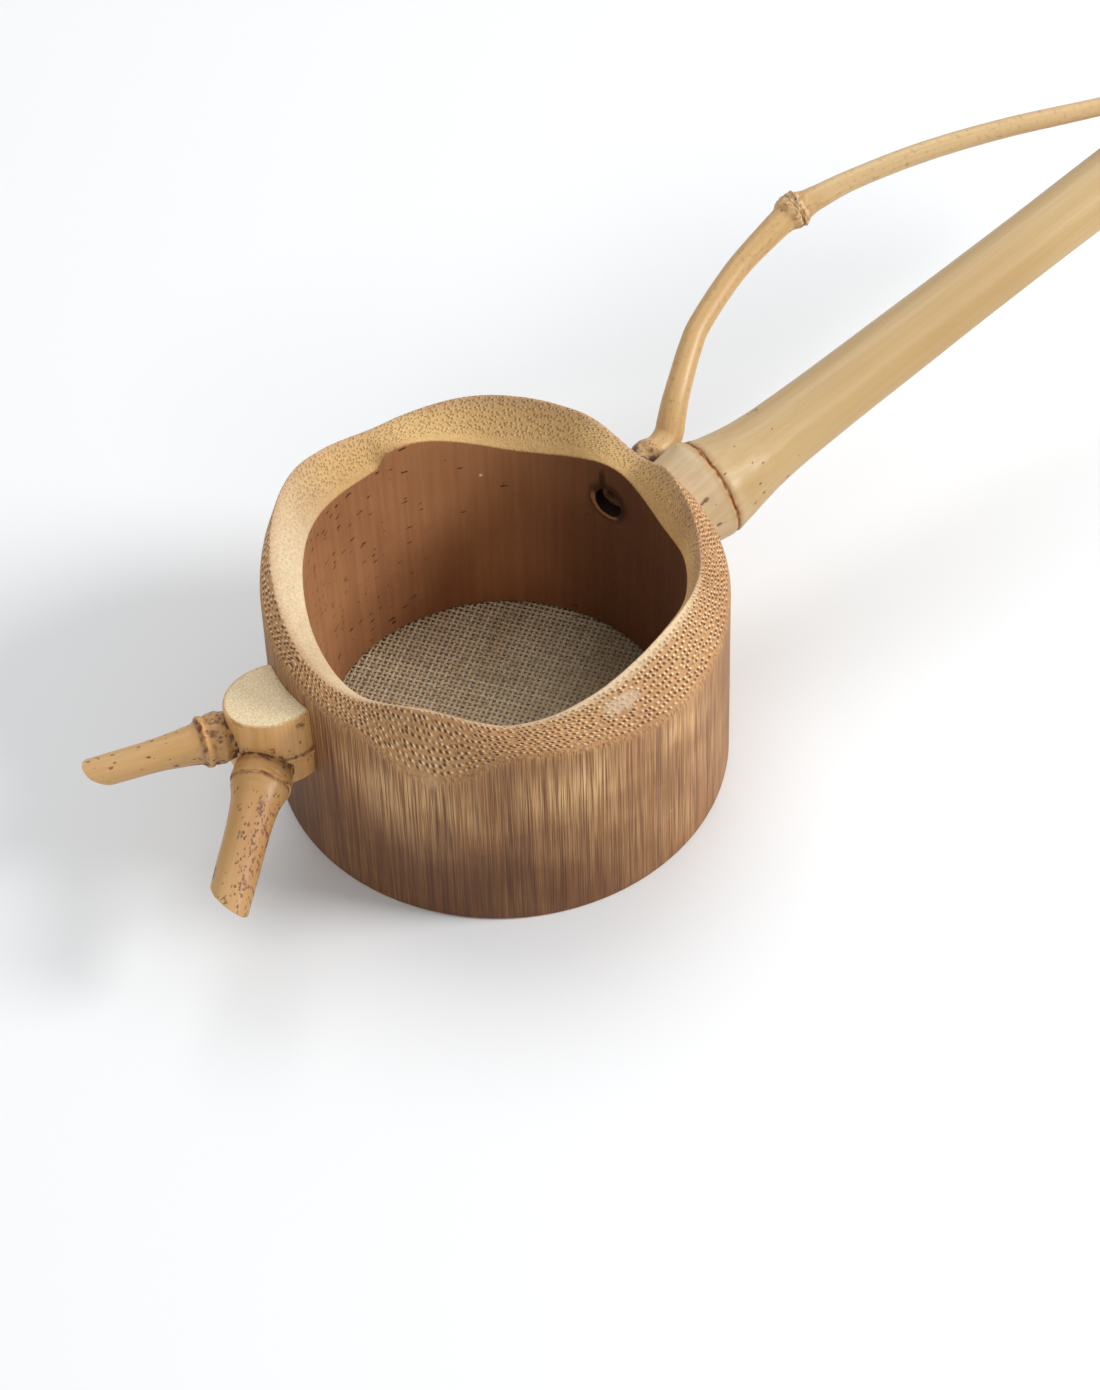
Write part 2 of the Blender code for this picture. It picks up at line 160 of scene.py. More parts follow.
def smoothStep(value, low, high):
    share = np.clip((value - low) / (high - low), 0, 1)
    return share * share * (3 - 2 * share)


def bell(value, middle, width):
    return np.exp(-((value - middle) / width) ** 2)


def wander(points, scale, seed=0):     # smooth noise from -1 to 1 at an array of points
    return np.array([noise.noise(Vector(point) * scale + Vector((seed, seed * 0.7, 0))) for point in points])


def splineThrough(stations, steps):    # Catmull-Rom through stations of any length
    rows = [np.array(station, float) for station in stations]
    rows = [rows[0] * 2 - rows[1]] + rows + [rows[-1] * 2 - rows[-2]]
    smooth = []
    for a, b, c, d in zip(rows, rows[1:], rows[2:], rows[3:]):
        for step in range(steps):
            t = step / steps
            smooth.append((2 * b + (c - a) * t + (2 * a - 5 * b + 4 * c - d) * t ** 2
                           + (3 * b - a - 3 * c + d) * t ** 3) / 2)
    smooth.append(rows[-2])
    return smooth


def turnBlank(name, profile, sides, closed=False):
    # a ring is extruded from station to station of (radius, height), then its open ends are filled
    radius, height = profile[0]
    bpy.ops.object.select_all(action="DESELECT")
    bpy.ops.mesh.primitive_circle_add(vertices=sides, radius=radius, location=(0, 0, height))
    bpy.ops.object.transform_apply(location=True, rotation=False, scale=False)
    blank = bpy.context.object
    blank.name = name
    bpy.ops.object.mode_set(mode="EDIT")
    bpy.ops.mesh.select_all(action="SELECT")
    for nextRadius, nextHeight in profile[1:]:
        bpy.ops.mesh.extrude_region_move(TRANSFORM_OT_translate={"value": (0, 0, nextHeight - height)})
        share = nextRadius / radius
        bpy.ops.transform.resize(value=(share, share, 1), center_override=(0, 0, nextHeight))
        radius, height = nextRadius, nextHeight
    bpy.ops.mesh.select_all(action="SELECT")
    if closed:
        bpy.ops.mesh.remove_doubles(threshold=0.001)
    else:
        bpy.ops.mesh.fill_holes(sides=0)
    bpy.ops.mesh.select_all(action="SELECT")
    bpy.ops.mesh.normals_make_consistent(inside=False)
    bpy.ops.object.mode_set(mode="OBJECT")
    return blank


def pointsOf(piece):
    points = np.zeros(len(piece.data.vertices) * 3, np.float32)
    piece.data.vertices.foreach_get("co", points)
    return points.reshape(-1, 3).astype(float)


def movePoints(piece, points):
    piece.data.vertices.foreach_set("co", np.ascontiguousarray(points, np.float32).ravel())
    piece.data.update()


def aboutAxis(points):                 # distance from the Z axis, and angle about it
    return np.hypot(points[:, 0], points[:, 1]), np.arctan2(points[:, 1], points[:, 0])


def waver(turn, at, settings):         # noise that closes on itself round the axis
    size, stretch, scale, seed, amount = settings
    places = np.stack([np.cos(turn) * size, np.sin(turn) * size, at * stretch], 1)
    return wander(places, scale, seed) * amount


def seenFrom(placing, points):         # world points as a placed piece's own coordinates
    back = np.array(placing.inverted())
    return points @ back[:3, :3].T + back[:3, 3]


def facesOf(piece, what):              # "center" or "normal" of every face
    values = np.zeros(len(piece.data.polygons) * 3, np.float32)
    piece.data.polygons.foreach_get(what, values)
    return values.reshape(-1, 3).astype(float)


def cornersOf(piece):                  # vertex and face that each corner belongs to
    vertices = np.zeros(len(piece.data.loops), np.int32)
    piece.data.loops.foreach_get("vertex_index", vertices)
    sizes = np.zeros(len(piece.data.polygons), np.int32)
    piece.data.polygons.foreach_get("loop_total", sizes)
    return vertices, np.repeat(np.arange(len(sizes)), sizes)


def paint(piece, name, values, domain="POINT"):
    kind = "FLOAT_VECTOR" if values.ndim == 2 else "FLOAT"
    layer = piece.data.attributes.new(name, kind, domain)
    field = "vector" if values.ndim == 2 else "value"
    layer.data.foreach_set(field, np.ascontiguousarray(values, np.float32).ravel())


def paintFaces(piece, name, values):
    paint(piece, name, values[cornersOf(piece)[1]], "CORNER")


def carve(piece, cutter, operation="DIFFERENCE"):
    modifier = piece.modifiers.new("carve", "BOOLEAN")
    modifier.operation = operation
    modifier.object = cutter
    activate(piece)
    bpy.ops.object.modifier_apply(modifier=modifier.name)
    bpy.data.objects.remove(cutter, do_unlink=True)


def borer(start, end, radius, sides=48):
    bpy.ops.object.select_all(action="DESELECT")
    bpy.ops.mesh.primitive_cylinder_add(vertices=sides, radius=radius, depth=(end - start).length)
    drill = bpy.context.object
    drill.data.transform(Matrix.Translation((start + end) / 2) @ along((end - start).normalized()))
    return drill


def settle(piece, material, nodes, smoothAngle=38):
    piece.data.transform(toFrame)
    piece.data.materials.clear()
    piece.data.materials.append(material)
    activate(piece)
    bpy.ops.object.shade_smooth_by_angle(angle=math.radians(smoothAngle))
    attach(piece, "root")
    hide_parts(*nodes)
    print("made", piece.name, len(piece.data.polygons), "faces")


# small helpers for materials
def tone(red, green, blue):            # a colour given as on a colour card, 0 to 255
    return tuple(c / 12.92 if c <= 0.04045 else ((c + 0.055) / 1.055) ** 2.4
                 for c in (red / 255, green / 255, blue / 255)) + (1,)


class Value:           # a node's output that plus, minus and times work on
    def __init__(self, tree, socket):
        self.tree, self.socket = tree, socket

    def __add__(self, other):
        return calc("ADD", self, other)

    def __sub__(self, other):
        return calc("SUBTRACT", self, other)

    def __rsub__(self, other):
        return calc("SUBTRACT", other, self)

    def __mul__(self, other):
        return calc("MULTIPLY", self, other)


class Outputs:         # the outputs of a node, each given as a Value
    def __init__(self, tree, sockets):
        self.tree, self.sockets = tree, sockets

    def __getitem__(self, title):
        return Value(self.tree, self.sockets[title])


def fill(tree, sockets, entries):
    for title, entry in entries.items():
        if isinstance(entry, Value):
            tree.links.new(entry.socket, sockets[title])
        else:
            sockets[title].default_value = entry


def place(tree, kind, entries, **settings):
    made = tree.nodes.new("ShaderNode" + kind)
    for name, setting in settings.items():
        setattr(made, name, setting)
    fill(tree, made.inputs, entries)
    return Outputs(tree, made.outputs)


def calc(operation, first, second=0.0, clamp=False):
    tree = (first if isinstance(first, Value) else second).tree
    return place(tree, "Math", {0: first, 1: second}, operation=operation, use_clamp=clamp)[0]


def vectorCalc(operation, first, second):
    return place(first.tree, "VectorMath", {0: first, 1: second}, operation=operation)[0]


def stretch(vector, amounts):
    return vectorCalc("MULTIPLY", vector, amounts)


def fade(value, low, high, start=0.0, end=1.0):
    return place(value.tree, "MapRange", {"Value": value, "From Min": low, "From Max": high, "To Min": start,
                                          "To Max": end}, interpolation_type="SMOOTHSTEP")[0]


def blendTone(share, below, above, how="MIX"):
    return place(share.tree, "Mix", {0: share, 6: below, 7: above}, data_type="RGBA", blend_type=how)[2]


def blendValue(share, below, above):
    return place(share.tree, "Mix", {0: share, 2: below, 3: above}, data_type="FLOAT")[0]


def cloud(vector, scale, detail=2.0, roughness=0.5):
    return place(vector.tree, "TexNoise", {"Vector": vector, "Scale": scale, "Detail": detail,
                                           "Roughness": roughness})["Fac"]


def relief(height, distance, strength=1.0, under=None):
    entries = {"Height": height, "Distance": distance, "Strength": strength}
    if under is not None:
        entries["Normal"] = under
    return place(height.tree, "Bump", entries)["Normal"]


def readMask(tree, name, output="Fac"):
    return place(tree, "Attribute", {}, attribute_name=name)[output]


def readPoint(tree):
    return place(tree, "TexCoord", {})["Object"]


def startMaterial(name):
    material = bpy.data.materials.new(name)
    material.use_nodes = True
    return material, material.node_tree, material.node_tree.nodes["Principled BSDF"]


def startGroup(name, inputs, outputs):
    group = bpy.data.node_groups.new(name, "ShaderNodeTree")
    for title, kind, start in inputs:
        socket = group.interface.new_socket(title, in_out="INPUT", socket_type="NodeSocket" + kind)
        if start is not None:
            socket.default_value = start
    for title, kind in outputs:
        group.interface.new_socket(title, in_out="OUTPUT", socket_type="NodeSocket" + kind)
    given = Outputs(group, group.nodes.new("NodeGroupInput").outputs)
    return group, given, group.nodes.new("NodeGroupOutput").inputs


def useGroup(tree, group, **entries):
    made = tree.nodes.new("ShaderNodeGroup")
    made.node_tree = group
    fill(tree, made.inputs, entries)
    return Outputs(tree, made.outputs)


# shader groups that several finishes share
def makeFibreStreaks():
    # long fibres: the vector's Z runs along them
    group, given, result = startGroup(
        "fibreStreaks",
        [("Vector", "Vector", None), ("Across", "Float", 1200.0), ("Along", "Float", 40.0)],
        [("Fine", "Float"), ("Broad", "Float"), ("Height", "Float")],
    )
    amounts = place(group, "CombineXYZ", {0: given["Across"], 1: given["Across"], 2: given["Along"]})[0]
    scaled = stretch(given["Vector"], amounts)
    fine = cloud(scaled, 1.0, 2.5, 0.6)
    broad = cloud(stretch(scaled, (0.16, 0.16, 0.4)), 1.0, 2.0, 0.5)
    fill(group, result, {"Fine": fade(fine, 0.36, 0.66), "Broad": fade(broad, 0.3, 0.7), "Height": fine})
    return group


def makeBundleEnds():
    # cut fibre bundles on the vector's X and Y: staggered rows of dark pits, their dark partly the pores' own
    # colour and partly painted shade, and a painted highlight on the raised bundle between neighbours
    group, given, result = startGroup(
        "bundleEnds",
        [("Vector", "Vector", None), ("Across", "Float", 1075.0), ("Through", "Float", 1850.0),
         ("Scatter", "Float", 0.4), ("Pit Size", "Float", 0.3)],
        [("Pit", "Float"), ("LitBundle", "Float"), ("Height", "Float")],
    )
    spot = place(group, "SeparateXYZ", {0: given["Vector"]})
    row = spot[1] * given["Through"]
    column = spot[0] * given["Across"] + row * 0.5
    cells = []
    for shift in (0.0, 0.5):
        laid = place(group, "CombineXYZ", {0: column + shift, 1: row})[0]
        cells.append(place(group, "TexVoronoi",
                           {"Vector": laid, "Scale": 1.0, "Randomness": given["Scatter"]},
                           voronoi_dimensions="2D"))
    inside = given["Pit Size"] * 0.45
    pit = fade(cells[0]["Distance"], inside, given["Pit Size"] + 0.08, 1.0, 0.0)
    litBundle = fade(cells[1]["Distance"], 0.06, given["Pit Size"] + 0.06, 1.0, 0.0)
    random = place(group, "SeparateColor", {0: cells[0]["Color"]})
    pit = pit * fade(random[0], 0.0, 0.5, 0.35, 1.0)
    litBundle = litBundle * fade(random[1], 0.0, 0.6, 0.3, 1.0)
    fill(group, result, {"Pit": pit, "LitBundle": litBundle, "Height": litBundle * 0.6 - pit})
    return group


def makeFlecks():
    # scattered small spots of uneven shape; Share is how many of the cells hold one
    group, given, result = startGroup(
        "flecks",
        [("Vector", "Vector", None), ("Count", "Float", 300.0), ("Share", "Float", 0.2),
         ("Size", "Float", 0.3)],
        [("Fleck", "Float")],
    )
    amounts = place(group, "CombineXYZ", {0: given["Count"], 1: given["Count"], 2: given["Count"]})[0]
    scaled = stretch(given["Vector"], amounts)
    ragged = place(group, "TexNoise", {"Vector": scaled, "Scale": 2.6, "Detail": 2.0})["Color"]
    ragged = vectorCalc("SUBTRACT", ragged, (0.5, 0.5, 0.5))
    spot = vectorCalc("ADD", scaled, stretch(ragged, (0.8, 0.8, 0.8)))
    cells = place(group, "TexVoronoi", {"Vector": spot, "Scale": 1.0})
    random = place(group, "SeparateColor", {0: cells["Color"]})
    chosen = calc("LESS_THAN", random[0], given["Share"])
    size = given["Size"] * fade(random[1], 0.0, 1.0, 0.45, 1.0)
    body = fade(cells["Distance"], size * 0.6, size, 1.0, 0.0)
    fill(group, result, {"Fleck": body * chosen})
    return group


fibreStreaks = makeFibreStreaks()
bundleEnds = makeBundleEnds()
flecks = makeFlecks()


# cup: a length of smoked culm with a hand-carved rim
cupShape = {
    "outerRadius": 31.0, "rimRadius": 25.2, "shoulderRadius": 24.4, "rebateRadius": 27.4,
    "shoulderHeight": 1.95,
    "crest": ((11, 34.6), (30, 37.6), (55, 38.0), (84, 36.8), (121, 40.8), (184, 33.8), (214, 37.0),
              (239, 34.7), (289, 39.0), (332, 35.6), (357, 36.8)),
    "outerEdge": ((13, 31.0), (50, 34.5), (84, 33.5), (121, 36.5), (165, 33.0), (195, 32.5), (216, 27.5),
                  (240, 33.2), (287, 29.5), (330, 31.5)),
    "innerEdge": ((14, 33.2), (43, 31.4), (87, 36.2), (93, 34.0), (130, 36.2), (184, 31.0), (214, 34.5),
                  (239, 32.6), (289, 36.5), (325, 32.5), (350, 30.0)),
    "crestRadius": 28.2, "crestWander": 1.8, "crestWanderAzimuth": 94,
    "segments": 384, "cornerSteps": 4,
    "paleAzimuth": 196, "smokedAzimuth": 190, "mirrorAzimuth": -8,
}
cupLook = {
    "wallDark": tone(118, 72, 38), "wallMid": tone(148, 98, 54), "wallStreak": tone(240, 198, 142),
    "outwardFace": tone(202, 156, 108), "outwardPit": tone(94, 53, 26), "outwardSheath": tone(255, 228, 184),
    "inwardFace": tone(226, 188, 128), "inwardPit": tone(158, 106, 50), "inwardSheath": tone(244, 216, 166),
    "lip": tone(230, 208, 172), "edge": tone(206, 172, 138),
    "inside": tone(182, 128, 86), "insideDark": tone(170, 118, 79), "insideStreak": tone(202, 156, 112),
    "fleck": tone(64, 34, 20), "bore": tone(40, 22, 14), "crescent": tone(178, 130, 88),
    "dust": tone(240, 230, 214), "scuff": tone(214, 186, 156),
    "outward": {"Across": 1150.0, "Through": 2500.0, "Scatter": 0.50, "Pit Size": 0.31},
    "inward": {"Across": 1750.0, "Through": 2500.0, "Scatter": 0.95, "Pit Size": 0.28},
    "streaks": {"Across": 6200, "Along": 70}, "smokeScale": 70.0, "gritScale": 2400.0,
    # where the single marks are: azimuth in degrees, then height and half widths in millimetres
    "scuffAt": (268, 34.6, 3.4, 1.1), "fanAt": (217, 29.0, 1.5, 3.4), "speckAt": (58, 27.0, 0.32, 0.32),
    "holeReach": (2.2, 2.3), "smearReach": (0.6, 2.1), "smearFromHole": (2.5, 3.6),
    # radii, heights and arcs in metres between which one look fades into the next
    "bareOutward": (0.0262, 0.0276), "bareCorner": (0.0304, 0.0309), "lipRadii": (0.0264, 0.0276),
    "bareInward": (0.0256, 0.0266), "paleHeights": (0.004, 0.027), "wormArc": (0.04, 0.058),
    "smokedArc": (0.01, 0.036), "smoke": tone(158, 116, 78),
    "worms": {"Count": 820.0, "Size": 0.4}, "dustSpecks": {"Count": 420.0, "Share": 0.012, "Size": 0.16},
    "fibreDepth": 0.0001, "endDepth": 0.00014, "gritDepth": 0.00004,
}


def crestRadius(azimuth):
    swerve = math.cos(math.radians(azimuth - cupShape["crestWanderAzimuth"]))
    return cupShape["crestRadius"] + cupShape["crestWander"] * swerve


def cupSection(azimuth):
    shape = cupShape
    around = polar(2.2, azimuth, 0)
    chip = noise.noise(around * 2.4) * 0.14        # the knife's unevenness
    low = [
        (Vector((shape["rebateRadius"], 0)), 0.15, 2),
        (Vector((shape["outerRadius"], 0)), 0.55, 16),
        (Vector((shape["outerRadius"], swing(shape["outerEdge"], azimuth) + chip)), 1.0, 8),
        (Vector((crestRadius(azimuth) - chip, swing(shape["crest"], azimuth) - abs(chip))), 0.5, 8),
        (Vector((shape["rimRadius"], swing(shape["innerEdge"], azimuth) - chip)), 0.28, 14),
        (Vector((shape["shoulderRadius"], shape["shoulderHeight"])), 0.15, 1),
        (Vector((shape["rebateRadius"], shape["shoulderHeight"])), 0.06, 1),
    ]
    section = []
    for index, (corner, rounding, stations) in enumerate(low):
        after, nextRounding = low[(index + 1) % len(low)][:2]
        start = corner + (low[index - 1][0] - corner).normalized() * rounding
        end = corner + (after - corner).normalized() * rounding
        for step in range(shape["cornerSteps"] + 1):
            t = step / shape["cornerSteps"]
            section.append(start.lerp(corner, t).lerp(corner.lerp(end, t), t))
        nextStart = after + (corner - after).normalized() * nextRounding
        for station in range(stations):
            section.append(end.lerp(nextStart, (station + 1) / (stations + 1)))
    return section


def shapeCup():
    blankSection = [tuple(point) for point in cupSection(0)]
    cup = turnBlank("carvedCup", blankSection + blankSection[:1], cupShape["segments"], closed=True)
    points = pointsOf(cup)
    radius, turn = aboutAxis(points)
    azimuth = np.degrees(turn) % 360
    blank = np.array(blankSection)
    offsets = np.stack([radius, points[:, 2]], 1)[:, None, :] - blank[None, :, :]
    station = np.argmin((offsets ** 2).sum(2), 1)
    sector = np.rint(azimuth * cupShape["segments"] / 360).astype(int) % cupShape["segments"]
    sections = np.array([[tuple(point) for point in cupSection(360 * s / cupShape["segments"])]
                         for s in range(cupShape["segments"])])
    placed = sections[sector, station]
    angle = np.radians(azimuth)
    movePoints(cup, np.stack([placed[:, 0] * np.cos(angle), placed[:, 0] * np.sin(angle), placed[:, 1]], 1))
    return cup


def paintCup(cup):
    points = pointsOf(cup)
    radius, turn = aboutAxis(points)
    azimuth = np.degrees(turn) % 360
    table = np.arange(0, 361)
    outerEdge = np.interp(azimuth, table, [swing(cupShape["outerEdge"], a) for a in table])
    innerEdge = np.interp(azimuth, table, [swing(cupShape["innerEdge"], a) for a in table])
    crest = np.interp(azimuth, table, [crestRadius(a) for a in table])
    height = points[:, 2]
    outward = smoothStep(radius - crest, -0.25, 0.25)
    aboveOuter = smoothStep(height - outerEdge, -4.2, 1.8)
    aboveInner = smoothStep(height - innerEdge, -0.12, 0.14)
    cut = aboveInner * (1 - outward) + aboveOuter * outward
    cut = np.maximum(cut, smoothStep(-height, -0.4, -0.1))
    inner = (radius < cupShape["rimRadius"] + 0.02) * (1 - aboveInner) * (height > 0.5)
    turned = (azimuth - cupShape["mirrorAzimuth"] + 180) % 360 - 180
    arc = np.radians(np.abs(turned)) * cupShape["outerRadius"]
    paint(cup, "culm", np.stack([arc, radius, height], 1) * mm)
    paint(cup, "cut", cut)
    paint(cup, "outward", outward)
    paint(cup, "inner", inner)
    paint(cup, "pale", smoothStep(np.cos(np.radians(azimuth - cupShape["paleAzimuth"])), -0.1, 0.6))
    paint(cup, "crest", bell(radius - crest, -0.25, 0.6) * aboveInner)
    # painted shade: the outer wall is darkened low down on its left, where shade falls
    low = smoothStep(-height, -26, -6) * smoothStep(np.cos(np.radians(azimuth - cupShape["smokedAzimuth"])),
                                                    -0.3, 0.8)
    paint(cup, "paintedShadeLow", low * (radius > cupShape["rebateRadius"]))


def markShares(tree, point, radius, mark):
    # how far a point lies from a mark (azimuth, height, half arc, half height) on the wall, in half widths
    azimuth, height, halfArc, halfHeight = mark
    centred = place(tree, "Mapping", {"Vector": point, "Location": toFrame @ polar(radius, azimuth, height),
                                      "Rotation": (0, 0, math.radians(azimuth))}, vector_type="TEXTURE")[0]
    sizes = [1 / (half * mm) for half in (1, halfArc, halfHeight)]
    return place(tree, "SeparateXYZ", {0: stretch(centred, sizes)})


def apart(shares):
    return calc("SQRT", calc("POWER", shares[1], 2.0) + calc("POWER", shares[2], 2.0))


def markAt(tree, point, radius, mark):
    return apart(markShares(tree, point, radius, mark))


def makeCupMaterial(look):
    material, tree, shader = startMaterial("smokedCulm")
    culm = readMask(tree, "culm", "Vector")
    point = readPoint(tree)
    cut, outward, crest, inner, pale, bore, paintedShadeLow = (
        readMask(tree, name) for name in ("cut", "outward", "crest", "inner", "pale", "bore", "paintedShadeLow"))
    arc, radius, height = place(tree, "SeparateXYZ", {0: culm})
    fibres = useGroup(tree, fibreStreaks, Vector=culm, **look["streaks"])
    outEnds = useGroup(tree, bundleEnds, Vector=culm, **look["outward"])
    inEnds = useGroup(tree, bundleEnds, Vector=culm, **look["inward"])
    smoke = cloud(point, look["smokeScale"], 3.0)
    grit = cloud(point, look["gritScale"], 3.0, 0.7)
    scuff = fade(markAt(tree, point, outerRadius, look["scuffAt"]) + grit * 1.2, 1.1, 1.7, 1.0, 0.0)
    fan = fade(markAt(tree, point, outerRadius, look["fanAt"]) + fibres["Height"], 0.7, 1.6, 0.75, 0.0)
    # scraped outside
    wall = blendTone(fibres["Broad"], look["wallDark"], look["wallMid"])
    threads = fibres["Fine"] * fade(smoke, 0.3, 0.7, 0.7, 0.34)
    threads = calc("MULTIPLY", threads, fade(height, *look["paleHeights"], 0.55, 1.2), clamp=True)
    wall = blendTone(threads, wall, look["wallStreak"])
    # painted shade darkens the wall low on the left
    wall = blendTone(paintedShadeLow * 0.55, wall, look["wallDark"], "MULTIPLY")
    wall = blendTone(fan, wall, look["scuff"])
    # carved faces: bundle ends show less towards the inner side of the culm
    bare = fade(radius, *look["bareOutward"]) * fade(radius, *look["bareCorner"], 1.0, 0.22)
    outFace = blendTone(fade(grit, 0.35, 0.65, 0.0, 0.35), look["outwardFace"], look["wallMid"])
    outFace = blendTone(fade(radius, *look["lipRadii"], 1.0, 0.0), outFace, look["lip"])
    # painted highlights on the raised bundle ends, and painted shade in their pits
    outFace = blendTone(outEnds["LitBundle"] * bare, outFace, look["outwardSheath"])
    outFace = blendTone(outEnds["Pit"] * bare * 0.9, outFace, look["outwardPit"])
    outFace = blendTone(scuff * 0.8, outFace, look["scuff"])
    inTone = blendTone(pale, look["inwardFace"], look["lip"])
    inTone = blendTone(crest * 0.7, inTone, look["edge"])
    bareInside = fade(radius, *look["bareInward"], 0.15, 1.0) * fade(pale, 0.0, 1.0, 1.0, 0.35)
    inFace = blendTone(fade(grit, 0.3, 0.7, 0.0, 0.28), inTone, look["inwardPit"])
    # painted highlights on the raised bundle ends, and painted shade in their pits
    inFace = blendTone(inEnds["LitBundle"] * bareInside * 0.6, inFace, look["inwardSheath"])
    inFace = blendTone(inEnds["Pit"] * bareInside * 0.48, inFace, look["inwardPit"])
    face = blendTone(outward, inFace, outFace)
    ragged = fade(cut + (fibres["Height"] - 0.5) * 1.8, 0.25, 1.0)
    cutEdge = blendValue(outward, cut, ragged)
    body = blendTone(cutEdge, wall, face)
    # inside of the cup, with short worm marks on the far left
    marked = fade(arc, *look["wormArc"], 0.012, 0.42)
    dashes = useGroup(tree, flecks, Vector=stretch(culm, (0.5, 1.0, 1.9)), Share=marked, **look["worms"])
    inside = blendTone(fibres["Broad"], look["inside"], look["insideDark"])
    inside = blendTone(fibres["Fine"] * 0.1, inside, look["insideStreak"])
    # painted shade: the inside is darker next to the handle
    shaded = fade(arc, *look["smokedArc"], 0.76, 0.0)
    inside = blendTone(shaded, inside, look["fleck"])
    inside = blendTone(dashes["Fleck"] * 0.85, inside, look["fleck"])
    # painted glint: a small white spot on the inner wall, in the dust tone
    glint = markAt(tree, point, cupShape["rimRadius"], look["speckAt"])
    inside = blendTone(fade(glint, 0.5, 1.0, 0.9, 0.0), inside, look["dust"])
    inside = markTenonHole(tree, inside, point, grit, look)
    body = blendTone(inner, body, inside)
    # painted shade: the faces inside the tenon's hole are near black
    body = blendTone(bore, body, look["bore"])
    dust = useGroup(tree, flecks, Vector=point, **look["dustSpecks"])
    body = blendTone(dust["Fleck"] * 0.8, body, look["dust"])
    body = blendTone(fade(smoke, 0.3, 0.75, 0.0, 0.3), body, look["smoke"], "MULTIPLY")
    dry = fade(fibres["Fine"], 0.0, 1.0, 0.52, 0.68)
    smooth = 1.0 - inner * 0.85
    normal = relief(fibres["Height"] * smooth, look["fibreDepth"], 0.8)
    endHeight = blendValue(outward, inEnds["Height"] * bareInside, outEnds["Height"] * bare)
    normal = relief(endHeight * cutEdge, look["endDepth"], 0.8, normal)
    fill(tree, shader.inputs, {
        "Base Color": body, "Roughness": blendValue(cutEdge, dry, 0.86), "Specular IOR Level": 0.3,
        "Normal": relief(grit, look["gritDepth"], 0.6, normal),
    })
    return material


def markTenonHole(tree, inside, point, grit, look):
    # painted light and shade at the tenon's hole: a painted highlight on its rim on the left and below,
    # painted shade in its mouth, and a painted shadow above it
    azimuth = math.degrees(math.asin(tenonSide / outerRadius))
    middle = onTenon(-2.9)
    inner = cupShape["rimRadius"]
    shadowAside, shadowAbove = look["smearFromHole"]
    shares = markShares(tree, point, inner, (azimuth, middle.z, *look["holeReach"]))
    holeDistance = apart(shares) + (grit - 0.5) * 0.5
    lit = fade(shares[1] * 0.7 - shares[2], 0.2, 0.9)
    # painted highlight on the rim of the hole, and painted shade inside its mouth
    edge = fade(holeDistance, 1.22, 1.36, 1.0, 0.0) * lit
    inside = blendTone(fade(holeDistance, 1.15, 1.75, 0.75, 0.0), inside, look["bore"])
    inside = blendTone(edge * 0.8, inside, look["crescent"])
    # painted shadow above the hole
    holeShadow = markAt(tree, point, inner, (azimuth + shadowAside, middle.z + shadowAbove, *look["smearReach"]))
    return blendTone(fade(holeShadow, 0.4, 1.3, 0.8, 0.0), inside, look["bore"])


# handle and side branch places, shared by the pieces that meet there
joinery = {
    "handleTilt": 12, "handleHeight": 18.7, "stubLength": 6.3, "stubRadius": 6.2,
    "tenonRadius": 1.9, "tenonToStub": 0.3, "tenonAbove": 2.1, "tenonRise": 8, "gap": 0.3, "tenonRecess": 0.9,
    "dowelRadius": 2.6, "dowelInHandle": 5.0, "dowelInWall": 3.2,
    "restAzimuth": 170.5, "restHeight": 23.0, "restDowelRadius": 1.9, "restDowelDepth": 5.3,
    "contact": 0.03,
}
outerRadius = cupShape["outerRadius"]
wallMiddle = outerRadius - 2.9
tilt = math.radians(joinery["handleTilt"])
handleAxis = Vector((math.cos(tilt), 0, math.sin(tilt)))
tenonSide = joinery["stubRadius"] + joinery["tenonRadius"] + joinery["tenonToStub"]


def onHandle(distance):
    return Vector((0, 0, joinery["handleHeight"])) + handleAxis * distance


def handleHeight(distance):
    return joinery["handleHeight"] + distance * math.tan(tilt)


def onTenon(distance):
    azimuth = math.degrees(math.asin(tenonSide / outerRadius))
    rise = math.radians(joinery["tenonRise"])
    middle = polar(wallMiddle, azimuth, handleHeight(wallMiddle) + joinery["tenonAbove"])
    return middle + polar(math.cos(rise), azimuth, math.sin(rise)) * distance


def onRestDowel(distance):
    return polar(distance, joinery["restAzimuth"], joinery["restHeight"])


def boreCup(cup):
    blindEnd = outerRadius - joinery["dowelInWall"] - joinery["gap"]
    carve(cup, borer(onHandle(blindEnd), onHandle(outerRadius + 4), joinery["dowelRadius"] + joinery["gap"]))
    carve(cup, borer(onRestDowel(blindEnd), onRestDowel(outerRadius + 4),
                     joinery["restDowelRadius"] + joinery["gap"]))
    mouth = borer(onTenon(-6), onTenon(6), joinery["tenonRadius"] + 0.25, 56)
    points = pointsOf(mouth)
    middle = np.array(onTenon(0))
    points[:, 2] += (points[:, 2] - middle[2]) * 0.10       # the hole is a little taller than wide
    movePoints(mouth, points + wander(points, 0.9)[:, None] * np.array((0, 0.10, 0.14)))
    carve(cup, mouth)
    centres = facesOf(cup, "center")
    axis = np.array((onTenon(1) - onTenon(0)))
    offset = centres - middle
    away = np.linalg.norm(offset - (offset @ axis)[:, None] * axis, axis=1)
    level = np.hypot(centres[:, 0], centres[:, 1])
    inBore = (away < joinery["tenonRadius"] + 0.6) & (level > 25.3) & (level < 30.9)
    # faces inside the hole get painted shade
    paintFaces(cup, "bore", inBore.astype(float))


def makeCup():
    cup = shapeCup()
    boreCup(cup)
    paintCup(cup)
    settle(cup, makeCupMaterial(cupLook), ["cup_body"])


makeCup()


